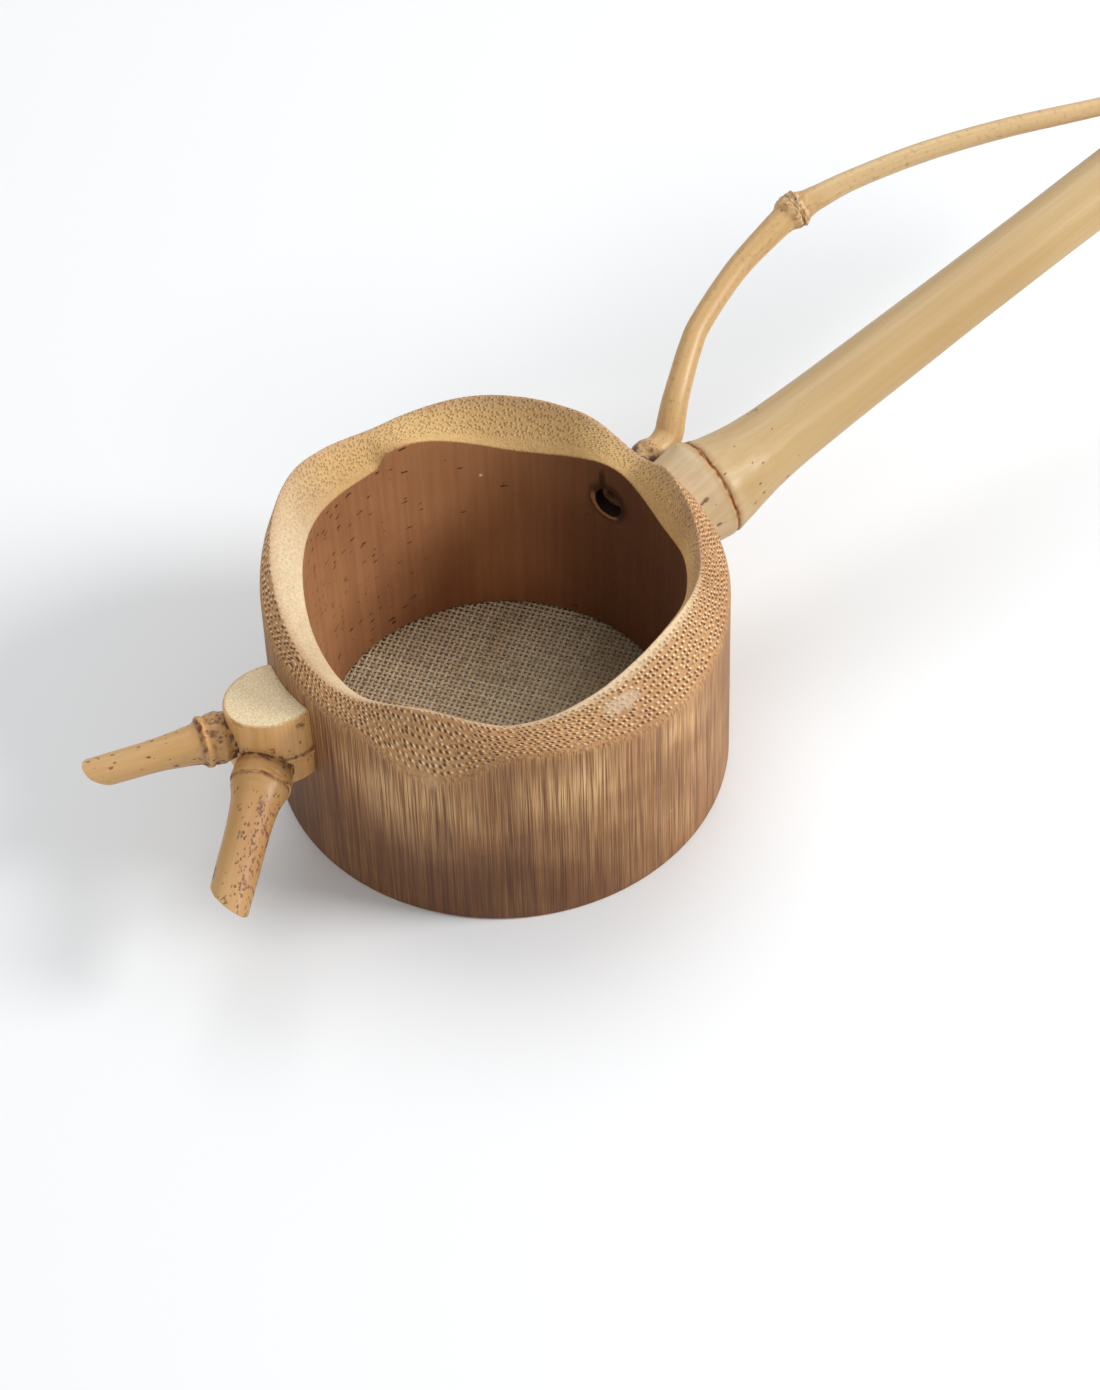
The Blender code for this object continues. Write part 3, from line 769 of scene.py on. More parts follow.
# gauze bottom: linen threads woven over and under, clamped by a split hoop
weave = {
    "radius": 27.1, "pitch": 0.77, "angle": 34, "middle": 1.48, "wave": 0.105,
    "width": 0.254, "thick": 0.10, "tight": 0.055, "wobble": 0.04, "sides": 6, "seed": 11,
}
linenLook = {"light": tone(255, 240, 204), "mid": tone(236, 214, 170), "dark": tone(156, 130, 92),
             "tea": tone(78, 58, 36), "slubScale": 900.0, "wornScale": 90.0, "fluffScale": 9000.0,
             "fluffDepth": 0.00003}


def threadRings(index, crosswise, random):
    # centre line and half widths of one thread, a ring at every crossing and halfway between
    pitch = weave["pitch"]
    side = (index + 0.5) * pitch
    reach = math.sqrt(max(weave["radius"] ** 2 - side ** 2, 0)) - 0.1
    if reach < pitch:
        return None
    run = np.arange(-reach, reach + pitch / 4, pitch / 2)
    drift = random.uniform(-weave["wobble"], weave["wobble"]) + 0.03 * np.sin(run * random.uniform(0.15, 0.4)
                                                                             + random.uniform(0, 6))
    sign = (-1) ** index * (-1 if crosswise else 1)
    height = weave["middle"] + weave["wave"] * sign * np.cos(np.pi * (run / pitch - 0.5))
    aside = side + drift
    plan = np.stack([aside, run], 1) if crosswise else np.stack([run, aside], 1)
    lean = -(plan[:, 0] * 0.42 + plan[:, 1] * 0.91)       # the weave is looser at the far left
    width = weave["width"] + weave["tight"] * np.tanh(lean / 9) + random.uniform(-0.015, 0.015)
    return plan, height, width * (1 + 0.05 * np.sin(run * 2.3 + index))


def makeGauze():
    random = np.random.default_rng(weave["seed"])
    turn = math.radians(weave["angle"])
    sides = weave["sides"]
    around = np.arange(sides) * 2 * np.pi / sides
    vertices, faces, shades, crowns, shadeShares = [], [], [], [], []
    shadedSide = shotTurn() @ Vector((0.94, -0.34, 0))       # painted shadow, darker towards the near right
    count = int(weave["radius"] / weave["pitch"]) + 1
    for crosswise in (False, True):
        for index in range(-count, count):
            rings = threadRings(index, crosswise, random)
            if rings is None:
                continue
            plan, height, width = rings
            flat = width[:, None] * np.cos(around)[None, :]
            lift = height[:, None] + weave["thick"] * np.sin(around)[None, :]
            x = plan[:, 0:1] + (flat if crosswise else 0)
            y = plan[:, 1:2] + (0 if crosswise else flat)
            x, y = x + 0 * flat, y + 0 * flat
            ring = np.stack([x * math.cos(turn) - y * math.sin(turn), x * math.sin(turn) + y * math.cos(turn),
                             lift], 2)
            base = len(vertices)
            vertices += ring.reshape(-1, 3).tolist()
            shades += [random.uniform(0, 1)] * ring.shape[0] * sides
            shadeShares += smoothStep(ring.reshape(-1, 3) @ np.array(shadedSide), -14, 25).tolist()
            # how high each point stands in the weave; low places get painted shade
            crowns += ((lift - weave["middle"]) / (weave["wave"] + weave["thick"])).ravel().tolist()
            flip = 1 if crosswise else -1
            for r in range(len(plan) - 1):
                for s in range(sides):
                    a, b = base + r * sides + s, base + r * sides + (s + 1) % sides
                    faces.append((a, a + sides, b + sides, b)[::flip])
            last = base + (len(plan) - 1) * sides
            faces.append(tuple(range(base, base + sides))[::flip])
            faces.append(tuple(range(last, last + sides))[::-flip])
    mesh = bpy.data.meshes.new("wovenGauze")
    mesh.from_pydata(vertices, [], faces)
    gauze = bpy.data.objects.new("wovenGauze", mesh)
    bpy.context.scene.collection.objects.link(gauze)
    paint(gauze, "shade", np.array(shades))
    paint(gauze, "crown", np.array(crowns))
    paint(gauze, "stain", np.array(shadeShares))
    settle(gauze, makeLinenMaterial(linenLook), ["filter_cloth"], 60)


def makeLinenMaterial(look):
    material, tree, shader = startMaterial("linenThread")
    point = readPoint(tree)
    slub = cloud(point, look["slubScale"], 2.0)
    worn = cloud(point, look["wornScale"], 2.0)
    body = blendTone(readMask(tree, "shade"), look["mid"], look["light"])
    body = blendTone(fade(slub, 0.45, 0.8, 0.0, 0.5), body, look["dark"])
    body = blendTone(fade(worn, 0.4, 0.75, 0.0, 0.3), body, look["dark"])
    # painted shade darkens the low places of the weave
    body = blendTone(fade(readMask(tree, "crown"), -0.35, 0.6, 0.66, 0.0), body, look["tea"])
    # painted shadow on the near right of the gauze
    body = blendTone(readMask(tree, "stain") * 0.94, body, look["tea"])
    fluff = cloud(point, look["fluffScale"], 2.0)
    fill(tree, shader.inputs, {
        "Base Color": body, "Roughness": fade(slub, 0.2, 0.8, 0.8, 0.95), "Sheen Weight": 0.25,
        "Specular IOR Level": 0.2, "Normal": relief(fluff, look["fluffDepth"], 0.7),
    })
    return material


makeGauze()

hoopShape = {"radius": 27.1, "width": 2.7, "low": 0.2, "high": 1.0, "round": 0.18, "joinAzimuth": 200,
             "joinLean": 62,
             "joinGap": 0.12, "segments": 192}
splitLook = {"light": tone(226, 200, 150), "dark": tone(196, 162, 108), "streak": tone(176, 134, 84),
             "pit": tone(140, 96, 56), "fibres": {"Across": 900.0, "Along": 900.0},
             "specks": {"Count": 900.0, "Share": 0.12, "Size": 0.22}, "fibreDepth": 0.00006}


def makeSplitMaterial(look):
    material, tree, shader = startMaterial("splitBamboo")
    point = readPoint(tree)
    fibres = useGroup(tree, fibreStreaks, Vector=point, **look["fibres"])
    specks = useGroup(tree, flecks, Vector=point, **look["specks"])
    body = blendTone(fibres["Broad"], look["dark"], look["light"])
    body = blendTone(fibres["Fine"] * 0.3, body, look["streak"])
    body = blendTone(specks["Fleck"] * 0.6, body, look["pit"])
    fill(tree, shader.inputs, {
        "Base Color": body, "Roughness": fade(fibres["Fine"], 0.0, 1.0, 0.6, 0.75),
        "Normal": relief(fibres["Height"], look["fibreDepth"], 0.7),
    })
    return material


def makeHoop(material):
    shape = hoopShape
    inner = shape["radius"] - shape["width"]
    corners = [(shape["radius"], shape["low"]), (shape["radius"], shape["high"]), (inner, shape["high"]),
               (inner, shape["low"])]
    profile = []
    for index, corner in enumerate(corners):
        corner = Vector(corner)
        for other in (Vector(corners[index - 1]), Vector(corners[(index + 1) % 4])):
            profile.append(tuple(corner + (other - corner).normalized() * shape["round"]))
    hoop = turnBlank("splitHoop", profile + profile[:1], shape["segments"], closed=True)
    middle = polar(shape["radius"] - shape["width"] / 2, shape["joinAzimuth"], 0.6)
    bpy.ops.object.select_all(action="DESELECT")
    bpy.ops.mesh.primitive_cube_add(size=1)
    saw = bpy.context.object
    lean = Matrix.Rotation(math.radians(shape["joinAzimuth"] + shape["joinLean"]), 4, "Z")
    saw.data.transform(Matrix.Translation(middle) @ lean @ Matrix.Diagonal((9, shape["joinGap"], 3, 1)))
    carve(hoop, saw)
    settle(hoop, material, ["cloth_hoop"])


splitBamboo = makeSplitMaterial(splitLook)
makeHoop(splitBamboo)
for hidden in ("handle_dowel", "rest_dowel"):
    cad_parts[hidden].data.materials.clear()
    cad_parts[hidden].data.materials.append(splitBamboo)


# finish of the branch pieces: waxed bamboo skin, with pale sawn ends, brown node lines, freckles and
# scorches, painted shade in hollows, recessed ends, joints and creases, and painted highlights on raised
# lines and on one side of the handle
def makeBranchMaterial(name, look):
    material, tree, shader = startMaterial(name)
    grain = readMask(tree, "grain", "Vector")
    ring, freckled, scorchedAndShaded, cut, paleAndHighlight = (
        readMask(tree, name) for name in ("ring", "freckled", "scorchedAndShaded", "cut", "paleAndHighlight"))
    fibres = useGroup(tree, fibreStreaks, Vector=grain, **look["fibres"])
    ends = useGroup(tree, bundleEnds, Vector=grain, **look["endGrain"])
    patches = cloud(stretch(grain, (1, 1, 0.35)), look["patchScale"], 2.0)
    rough = cloud(grain, look["roughScale"], 3.0)
    grit = cloud(grain, look["gritScale"], 2.0, 0.6)
    body = blendTone(fade(patches, 0.32, 0.68), look["light"], look["warm"])
    # pale places, and painted highlights
    body = blendTone(paleAndHighlight * 0.8, body, look["pale"])
    body = blendTone(fibres["Fine"] * look["streakShare"], body, look["streak"])
    squeezed = stretch(grain, (1, 1, 0.6))
    dots = useGroup(tree, flecks, Vector=squeezed, **look["dots"])
    body = blendTone(dots["Fleck"] * 0.7, body, look["dot"])
    fine = useGroup(tree, flecks, Vector=squeezed, Share=freckled, **look["fineFreckles"])
    broad = useGroup(tree, flecks, Vector=squeezed, Share=freckled * 0.55, **look["broadFreckles"])
    freckles = calc("MAXIMUM", fine["Fleck"], broad["Fleck"] * fade(rough, 0.35, 0.6))
    body = blendTone(freckled * 0.42, body, look["tan"])
    body = blendTone(freckles * 0.78, body, look["stain"])
    line = calc("MULTIPLY", ring, fade(rough, 0.3, 0.6, 0.35, 1.0), clamp=True)
    body = blendTone(line, body, look["line"])
    # scorches, and painted shade in hollows, recessed ends, joints and creases
    soot = fade(scorchedAndShaded + rough * 0.9, 0.62, 1.05) * fade(scorchedAndShaded, 0.0, 0.2)
    body = blendTone(soot * 0.9, body, look["soot"])
    sawn = blendTone(fade(grit, 0.3, 0.7, 0.0, 0.85), look["sawn"], look["sawnLight"])
    sawn = blendTone(ends["Pit"] * 0.3, sawn, look["sawnPit"])
    sawn = blendTone(line * 0.8, sawn, look["warm"])
    sawn = blendTone(soot * 0.8, sawn, look["soot"])
    body = blendTone(cut, body, sawn)
    gloss = fade(fibres["Fine"], 0.0, 1.0, look["roughness"], look["roughness"] + 0.1)
    dull = calc("ADD", cut + line, freckles * 0.4, clamp=True)
    gloss = calc("ADD", gloss, dull * 0.35, clamp=True)
    normal = relief(fibres["Height"], look["fibreDepth"], 0.5)
    pits = rough * (line + soot) - (dots["Fleck"] + freckles) * 0.25
    normal = relief(pits, look["pitDepth"], 0.8, normal)
    fill(tree, shader.inputs, {
        "Base Color": body, "Roughness": gloss, "Specular IOR Level": 0.45, "Coat Weight": look["wax"],
        "Coat Roughness": 0.28, "Normal": relief(grit * cut, look["sawDepth"], 0.8, normal),
    })
    return material


branchLook = {
    "light": tone(190, 160, 108), "warm": tone(178, 143, 90), "pale": tone(214, 192, 158),
    "streak": tone(176, 134, 80),
    "streakShare": 0.24, "dot": tone(150, 96, 52), "line": tone(138, 66, 30), "stain": tone(104, 62, 46),
    "tan": tone(168, 124, 82), "soot": tone(108, 62, 34),
    "sawn": tone(222, 202, 164), "sawnLight": tone(246, 232, 204), "sawnPit": tone(168, 130, 88),
    "fibres": {"Across": 1500.0, "Along": 30.0}, "patchScale": 60.0, "roughScale": 1500.0,
    "gritScale": 4200.0,
    "dots": {"Count": 240.0, "Share": 0.035, "Size": 0.2}, "fineFreckles": {"Count": 2300.0, "Size": 0.54},
    "broadFreckles": {"Count": 760.0, "Size": 0.6},
    "endGrain": {"Across": 2700.0, "Through": 2700.0, "Scatter": 1.0, "Pit Size": 0.22},
    "fibreDepth": 0.00004, "pitDepth": 0.00008, "sawDepth": 0.00007,
    "roughness": 0.44, "wax": 0.12,
}


# handle: a branch whose node ring stands next to the cup
handleShape = {
    "profile": (      # (distance beyond the node ring, radius)
        (-10.0, 6.20), (-7.0, 6.20), (-5.0, 6.24), (-3.2, 6.40), (-1.9, 6.58), (-1.1, 6.70), (-0.5, 6.76),
        (-0.2, 6.70), (-0.06, 6.58), (0.08, 6.62), (0.25, 6.76), (0.55, 6.80), (1.0, 6.74), (1.7, 6.60),
        (3.0, 6.36), (4.5, 6.06), (6.5, 5.70), (8.5, 5.42), (13.0, 5.10), (22.0, 4.86), (34.0, 4.70),
        (50.0, 4.55), (75.0, 4.60), (95.0, 4.66), (113.9, 4.70),
    ),
    "end": ((114.69, 4.62), (114.99, 4.35), (114.99, 3.10), (114.8, 2.92), (100.0, 2.85), (60.0, 2.70),
            (7.0, 2.45), (6.0, 1.60)),
    "steps": 6, "sides": 128, "oval": 0.012, "outsideFrom": 4.2, "scarRadius": 6.5,
    # unevenness: (size, stretch along the axis, scale, seed, amount)
    "ripple": (3, 0.12, 0.6, 0, 0.05), "ringWave": (1, 0, 2.6, 5, 0.26),
    # the stub swells towards the side branch: (angle, distance, half angle, half length, height)
    "bud": (42, -1.9, 36, 1.9, 1.45), "ringSlant": 0.75, "ringSlantAngle": 38,
    # small scars on the stub: (angle, distance beyond the ring, half width, half length, depth)
    "scars": ((131, -3.5, 0.19, 0.95, 0.34), (168, -3.4, 0.18, 0.5, 0.26), (190, -3.9, 0.18, 0.45, 0.26)),
    # scraped pale places on the stub: (angle, distance, half width, half length)
    "scrapes": ((118, -2.0, 1.5, 1.2), (112, -4.6, 1.2, 0.8), (75, -1.6, 1.4, 0.8)),
}


def dents(angle, distance, scars):
    # how deep each point lies in any of the scars
    depth = np.zeros(len(angle))
    for turn, middle, halfWidth, halfLength, deep in scars:
        aside = ((angle - turn + 180) % 360 - 180) * np.pi / 180 * handleShape["scarRadius"]
        depth += deep * np.exp(-(aside / halfWidth) ** 2 - ((distance - middle) / halfLength) ** 2)
    return depth


def slantAt(angle, distance):              # how far the slanted node ring moves the points near it
    slant = handleShape["ringSlant"] * np.cos(np.radians(angle - handleShape["ringSlantAngle"]))
    return slant * bell(distance, 0, 4.5)


def makeHandle():
    shape = handleShape
    ringDistance = outerRadius + joinery["stubLength"]
    stations = splineThrough(shape["profile"], shape["steps"])
    profile = [(radius, distance) for distance, radius in stations]
    profile += [(radius, distance) for distance, radius in shape["end"]]
    handle = turnBlank("branchHandle", profile, shape["sides"])
    points = pointsOf(handle)
    radius, turn = aboutAxis(points)
    angle = np.degrees(turn)
    turn = np.radians(angle)
    outside = radius > shape["outsideFrom"]
    ripple = waver(turn, points[:, 2], shape["ripple"])
    swell = 1 + shape["oval"] * np.cos(2 * turn + 0.6) * outside
    budAngle, budDistance, halfAngle, halfLength, budHeight = shape["bud"]
    bud = budHeight * bell((angle - budAngle + 180) % 360 - 180, 0, halfAngle)
    bud *= bell(np.maximum(points[:, 2] - budDistance, 0), 0, halfLength)
    shift = (ripple + bud) * outside - dents(angle, points[:, 2], shape["scars"])
    factor = (radius * swell + shift) / radius
    wave = waver(turn, points[:, 2], shape["ringWave"])
    points[:, 2] += wave * bell(points[:, 2], 0, 1.6) + slantAt(angle, points[:, 2])
    points[:, :2] *= factor[:, None]
    movePoints(handle, points)
    placing = Matrix.Translation(onHandle(ringDistance)) @ along(handleAxis)
    handle.data.transform(placing)
    scribe = shapeCup()                     # the stub is scribed to the wall and to the carved rim
    scribe.data.transform(Matrix.Scale(1 + joinery["contact"] / outerRadius, 4))
    carve(handle, scribe)
    socketEnd = outerRadius + joinery["dowelInHandle"] + joinery["gap"]
    carve(handle, borer(onHandle(outerRadius - 6), onHandle(socketEnd),
                        joinery["dowelRadius"] + joinery["gap"]))
    paintHandle(handle, placing)
    settle(handle, makeBranchMaterial("handleBamboo", branchLook), ["handle"])


def paintHandle(handle, placing):
    shape = handleShape
    local = seenFrom(placing, pointsOf(handle))
    radius, turn = aboutAxis(local)
    angle = np.degrees(turn)
    distance = local[:, 2] - slantAt(angle, local[:, 2])
    paint(handle, "grain", local * mm)
    fray = wander(local, 1.4, 2)
    line = bell(distance + 0.2 * fray, -0.04, 0.23) * (1.05 + 0.9 * fray) + 0.25 * bell(distance, 0.45, 0.5)
    scars = dents(angle, local[:, 2], shape["scars"])
    paint(handle, "ring", np.clip(line, 0, 1) * (radius > 5))
    # scars, and painted shade inside the hollow far end
    scorchedAndShaded = 0.9 * (radius < 3) + scars * 3.0
    paint(handle, "scorchedAndShaded", np.clip(scorchedAndShaded, 0, 1))
    paint(handle, "freckled", 0.04 * bell(distance, 6, 9))
    scraped = dents(angle, local[:, 2], [(*scrape, 1.0) for scrape in shape["scrapes"]]) * (0.75 + 0.8 * fray)
    # the stub is paler and scraped in places; painted highlights on the stub's top side and along one side of
    # the handle beyond the node
    upper = 0.5 + 0.5 * np.cos(np.radians(angle - 95))
    paleAndHighlight = smoothStep(-distance, 0.2, 1.4) * (0.25 + 0.6 * upper) + scraped + 0.3 * bell(distance, 1.2, 1.2)
    paleAndHighlight += smoothStep(distance, 0.5, 3) * np.maximum(0.02 + 0.36 * np.cos(np.radians(angle - 48)), 0)
    paint(handle, "paleAndHighlight", np.clip(paleAndHighlight, 0, 1))
    centres = seenFrom(placing, facesOf(handle, "center"))
    sawnEnd = (centres[:, 2] > shape["end"][0][0] + 0.1) & (aboutAxis(centres)[0] > 2.8)
    paintFaces(handle, "cut", sawnEnd.astype(float))


makeHandle()


# side branch: a thin twig tenoned through the wall, looping out over the handle
twigShape = {
    # (distance from the wall along X, Y past the foot, height above the handle's axis, radius)
    "route": (
        (2.2, 0.8, 1.7, 1.95), (4.6, 1.2, 1.6, 2.02), (6.2, 1.7, 2.0, 2.02), (7.2, 2.4, 3.1, 1.96),
        (8.7, 3.5, 4.5, 1.86), (10.6, 4.8, 5.6, 1.76), (14.6, 7.5, 7.1, 1.66), (18.0, 9.3, 7.9, 1.60),
        (26.0, 11.8, 9.2, 1.63), (33.0, 12.9, 9.9, 1.80), (36.5, 13.3, 10.1, 1.95), (37.7, 13.4, 10.1, 2.00),
        (38.9, 13.2, 10.1, 1.95), (41.5, 12.6, 10.3, 1.70), (47.0, 11.3, 10.3, 1.47), (56.8, 7.9, 10.1, 1.42),
        (67.5, 3.4, 9.2, 1.38), (80.0, -2.3, 7.5, 1.30), (89.0, -6.2, 6.6, 1.22),
    ),
    "knotStation": 12, "steps": 12, "spacing": 0.55, "fineSpacing": 0.12, "sides": 56,
    "collar": 0.55, "collarAt": 2.6, "hollow": 1.05, "hollowDepth": 3.2,
    # unevenness: (size, stretch along the twig, scale, seed, amount)
    "bumps": (1, 0.9, 2.4, 3, 1), "pits": (1, 0.9, 5.2, 9, 1), "slow": (1, 0.08, 1.1, 2, 1),
    "lumps": (1, 0.35, 1.8, 15, 1), "ragged": (2, 1, 1.6, 7, 0.5),
}
twigLook = dict(branchLook, light=tone(208, 172, 118), warm=tone(192, 148, 90), pale=tone(236, 214, 176),
                dots={"Count": 330.0, "Share": 0.10, "Size": 0.2}, line=tone(140, 86, 46),
                soot=tone(84, 50, 32), wax=0.18)


def twigRoute():
    shape = twigShape
    start = onTenon(-2.9 + joinery["tenonRecess"])
    leave = onTenon(2.9 + 2 * joinery["gap"])
    stations = [(*leave, joinery["tenonRadius"])]
    for alongX, pastFoot, above, radius in shape["route"]:
        x = outerRadius + alongX
        stations.append((x, tenonSide + pastFoot, handleHeight(x) + above, radius))
    rows = [np.array((*start.lerp(leave, share), joinery["tenonRadius"])) for share in (0, 0.25, 0.5, 0.75)]
    rows = np.array(rows + splineThrough(stations, shape["steps"]))
    length = np.concatenate([[0], np.cumsum(np.linalg.norm(np.diff(rows[:, :3], axis=0), axis=1))])
    footLength = length[4]
    knotLength = length[4 + shape["knotStation"] * shape["steps"]]
    return rows, length, footLength, knotLength


def bendAlong(piece, route, length):
    # every point of the straight blank goes to its place along the route, with a frame carried along it
    tangents = np.gradient(route, length, axis=0)
    tangents /= np.linalg.norm(tangents, axis=1)[:, None]
    side = np.array(Vector(tangents[0]).orthogonal().normalized())
    sides = []
    for tangent in tangents:
        side = side - tangent * (side @ tangent)
        side /= np.linalg.norm(side)
        sides.append(side)
    sides = np.array(sides)
    points = pointsOf(piece)
    at = np.clip(points[:, 2], 0, length[-1])
    middle, tangent, side = (np.stack([np.interp(at, length, table[:, axis]) for axis in range(3)], 1)
                             for table in (route, tangents, sides))
    tangent /= np.linalg.norm(tangent, axis=1)[:, None]
    side /= np.linalg.norm(side, axis=1)[:, None]
    other = np.cross(tangent, side)
    over = (points[:, 2] - at)[:, None] * tangent
    movePoints(piece, middle + side * points[:, :1] + other * points[:, 1:2] + over)


def knotProfile(distance):              # two low ridges on a lump
    return 0.26 * bell(distance, -1.0, 0.5) + 0.42 * bell(distance, 0.85, 0.55) + 0.42 * bell(distance, 0,
                                                                                              1.35)


def makeSideBranch():
    shape = twigShape
    rows, length, foot, knot = twigRoute()
    stops, at = [], 0.0
    while at < length[-1] - 0.3:
        stops.append(at)
        near = min(abs(at - knot) / 3.0, abs(at - foot - shape["collarAt"]) / 3.4, 1)
        at += shape["fineSpacing"] + (shape["spacing"] - shape["fineSpacing"]) * near
    stops.append(length[-1] - 0.12)
    profile = []
    for stop in stops:
        radius = float(np.interp(stop, length, rows[:, 3]))
        radius += float(knotProfile(stop - knot))
        radius += shape["collar"] * float(bell(stop, foot + shape["collarAt"], 1.5)) * (stop > foot)
        profile.append((radius, stop))
    profile.append((profile[-1][0] - 0.14, length[-1]))
    hollow = shape["hollow"]
    mouth = [(hollow * 0.7, shape["hollowDepth"]), (hollow, shape["hollowDepth"] - 0.4), (hollow, 1.6),
             (hollow, 0.8),
             (hollow + 0.02, 0.15), (hollow + 0.12, 0.0), (profile[0][0] - 0.15, 0.0)]
    twig = turnBlank("loopingBranch", mouth + profile, shape["sides"])
    points = pointsOf(twig)
    radius, turn = aboutAxis(points)
    at = points[:, 2]
    bumps, pits, slow, lumps = (waver(turn, at, shape[name]) for name in ("bumps", "pits", "slow", "lumps"))
    nearKnot = bell(at, knot, 1.5)
    nearFoot = bell(at, foot + shape["collarAt"], 1.6) * (at > foot + 0.3)
    outside = (radius > hollow + 0.2) | (at > shape["hollowDepth"] + 0.5)
    shift = (0.34 * bumps + 0.26 * pits) * nearKnot + (0.36 * lumps + 0.10 * pits) * nearFoot + 0.04 * slow
    ragged = waver(turn, radius, shape["ragged"]) * bell(at, 0, 0.5)
    factor = (radius + shift * outside) / radius
    paint(twig, "grain", points * mm)
    knotMask = np.clip(nearKnot * (0.3 + 2.4 * pits), 0, 1)
    edges = 0.5 * bell(at, knot - 1.75, 0.2) + 0.6 * bell(at, knot + 1.8, 0.22)
    paint(twig, "ring", np.clip(edges * (0.7 + bumps) + 0.75 * knotMask, 0, 1) * outside)
    # the foot's scar, and painted shade on the recessed tenon end and inside its hollow
    tenonEnd = bell(np.minimum(at, 3), 0, 2.2)
    scar = np.clip(bell(at, foot + 1.2, 1.5) * (0.36 + 0.6 * lumps), 0, 1)
    paint(twig, "scorchedAndShaded", np.clip(scar + (1 - outside) + tenonEnd, 0, 1))
    paint(twig, "freckled", np.clip(0.7 * nearFoot + 0.10 * nearKnot, 0, 1))
    paint(twig, "paleAndHighlight", np.clip(np.clip(-pits * 3.5, 0, 1) * nearKnot + 0.25
                                * smoothStep(at, knot + 2, knot + 6), 0, 1))
    points[:, :2] *= factor[:, None]
    points[:, 2] += np.abs(ragged)
    movePoints(twig, points)
    centres = facesOf(twig, "center")
    normals = facesOf(twig, "normal")
    sawn = (np.abs(normals[:, 2]) > 0.6) & (centres[:, 2] > length[-1] - 0.2)
    paintFaces(twig, "cut", sawn.astype(float))
    bendAlong(twig, rows[:, :3], length)
    settle(twig, makeBranchMaterial("twigBamboo", twigLook), ["side_branch"])


makeSideBranch()


# pitcher rest: a forked branch node, sawn off above and coped to the cup
restShape = {
    "standoff": 2.0, "radius": 6.6, "ringHeight": 22.6, "topHeight": 28.0,
    "block": (    # (radius, height), from the bottom up
        (5.9, 17.5), (6.35, 17.62), (6.5, 18.1), (6.56, 19.4), (6.62, 20.8), (6.72, 21.7), (6.88, 22.2),
        (6.98, 22.45), (6.99, 22.60), (6.84, 22.74), (6.70, 22.86), (6.66, 23.1), (6.64, 23.8), (6.60, 25.2),
        (6.58, 26.8), (6.56, 27.6), (6.47, 27.9), (6.3, 28.0), (6.05, 28.0), (3.0, 28.0),
    ),
    "sides": 128, "topSlope": 0.24, "topLift": 0.4, "topRisesTo": 279,
    # each twig: azimuth, slope, height of its root above the ring, and (distance past the block, radius)
    "twigs": {
        "left": (163, 0.5, 0.5, (
            (-4.0, 2.9), (-1.5, 3.05), (0.2, 3.25), (0.9, 3.46), (1.6, 3.42), (2.2, 3.28), (2.5, 3.28),
            (2.75, 3.42), (3.1, 3.46), (3.45, 3.36), (3.7, 3.02), (4.2, 2.78), (5.2, 2.62), (7.0, 2.44),
            (10.0, 2.24), (13.0, 2.12), (16.0, 2.08), (19.64, 2.1),
        )),
        "front": (221, -9, -1.0, (
            (-4.0, 3.3), (-1.0, 3.7), (0.6, 3.94), (1.5, 4.0), (1.9, 4.02), (2.05, 4.10), (2.2, 4.10),
            (2.3, 3.94), (2.9, 3.78), (4.0, 3.48), (5.4, 3.20), (8.0, 3.02), (13.8, 2.90), (18.0, 2.84),
            (22.6, 2.82),
        )),
    },
    "twigSteps": 4, "twigSides": 72,
    # unevenness: (size, stretch along the axis, scale, seed, amount)
    "blockUneven": (1, 0.1, 1.6, 8, 0.12), "blockRingWave": (1, 0, 2.0, 1, 0.5),
    "twigUneven": (1, 0.12, 1.3, 4, 0.12), "rootUneven": (1, 0.8, 1.9, 6, 0.18),
    "twigRingWave": (1, 0, 1.7, 12, 0.35),
    # how each tip is sawn: (lean of the cut in degrees, direction it leans to)
    "tips": {"left": (52, (0.1, 0.25, -1.0)), "front": (47, (-0.60, 0.45, -0.90))},
}
restLook = dict(branchLook, light=tone(206, 166, 112), warm=tone(188, 142, 84), pale=tone(244, 180, 104),
                line=tone(116, 64, 44), tan=tone(156, 108, 66), soot=tone(92, 58, 42), stain=tone(92, 54, 46),
                streakShare=0.34, dots={"Count": 300.0, "Share": 0.12, "Size": 0.2},
                wax=0.10, sawn=tone(220, 192, 146), sawnLight=tone(250, 234, 200))


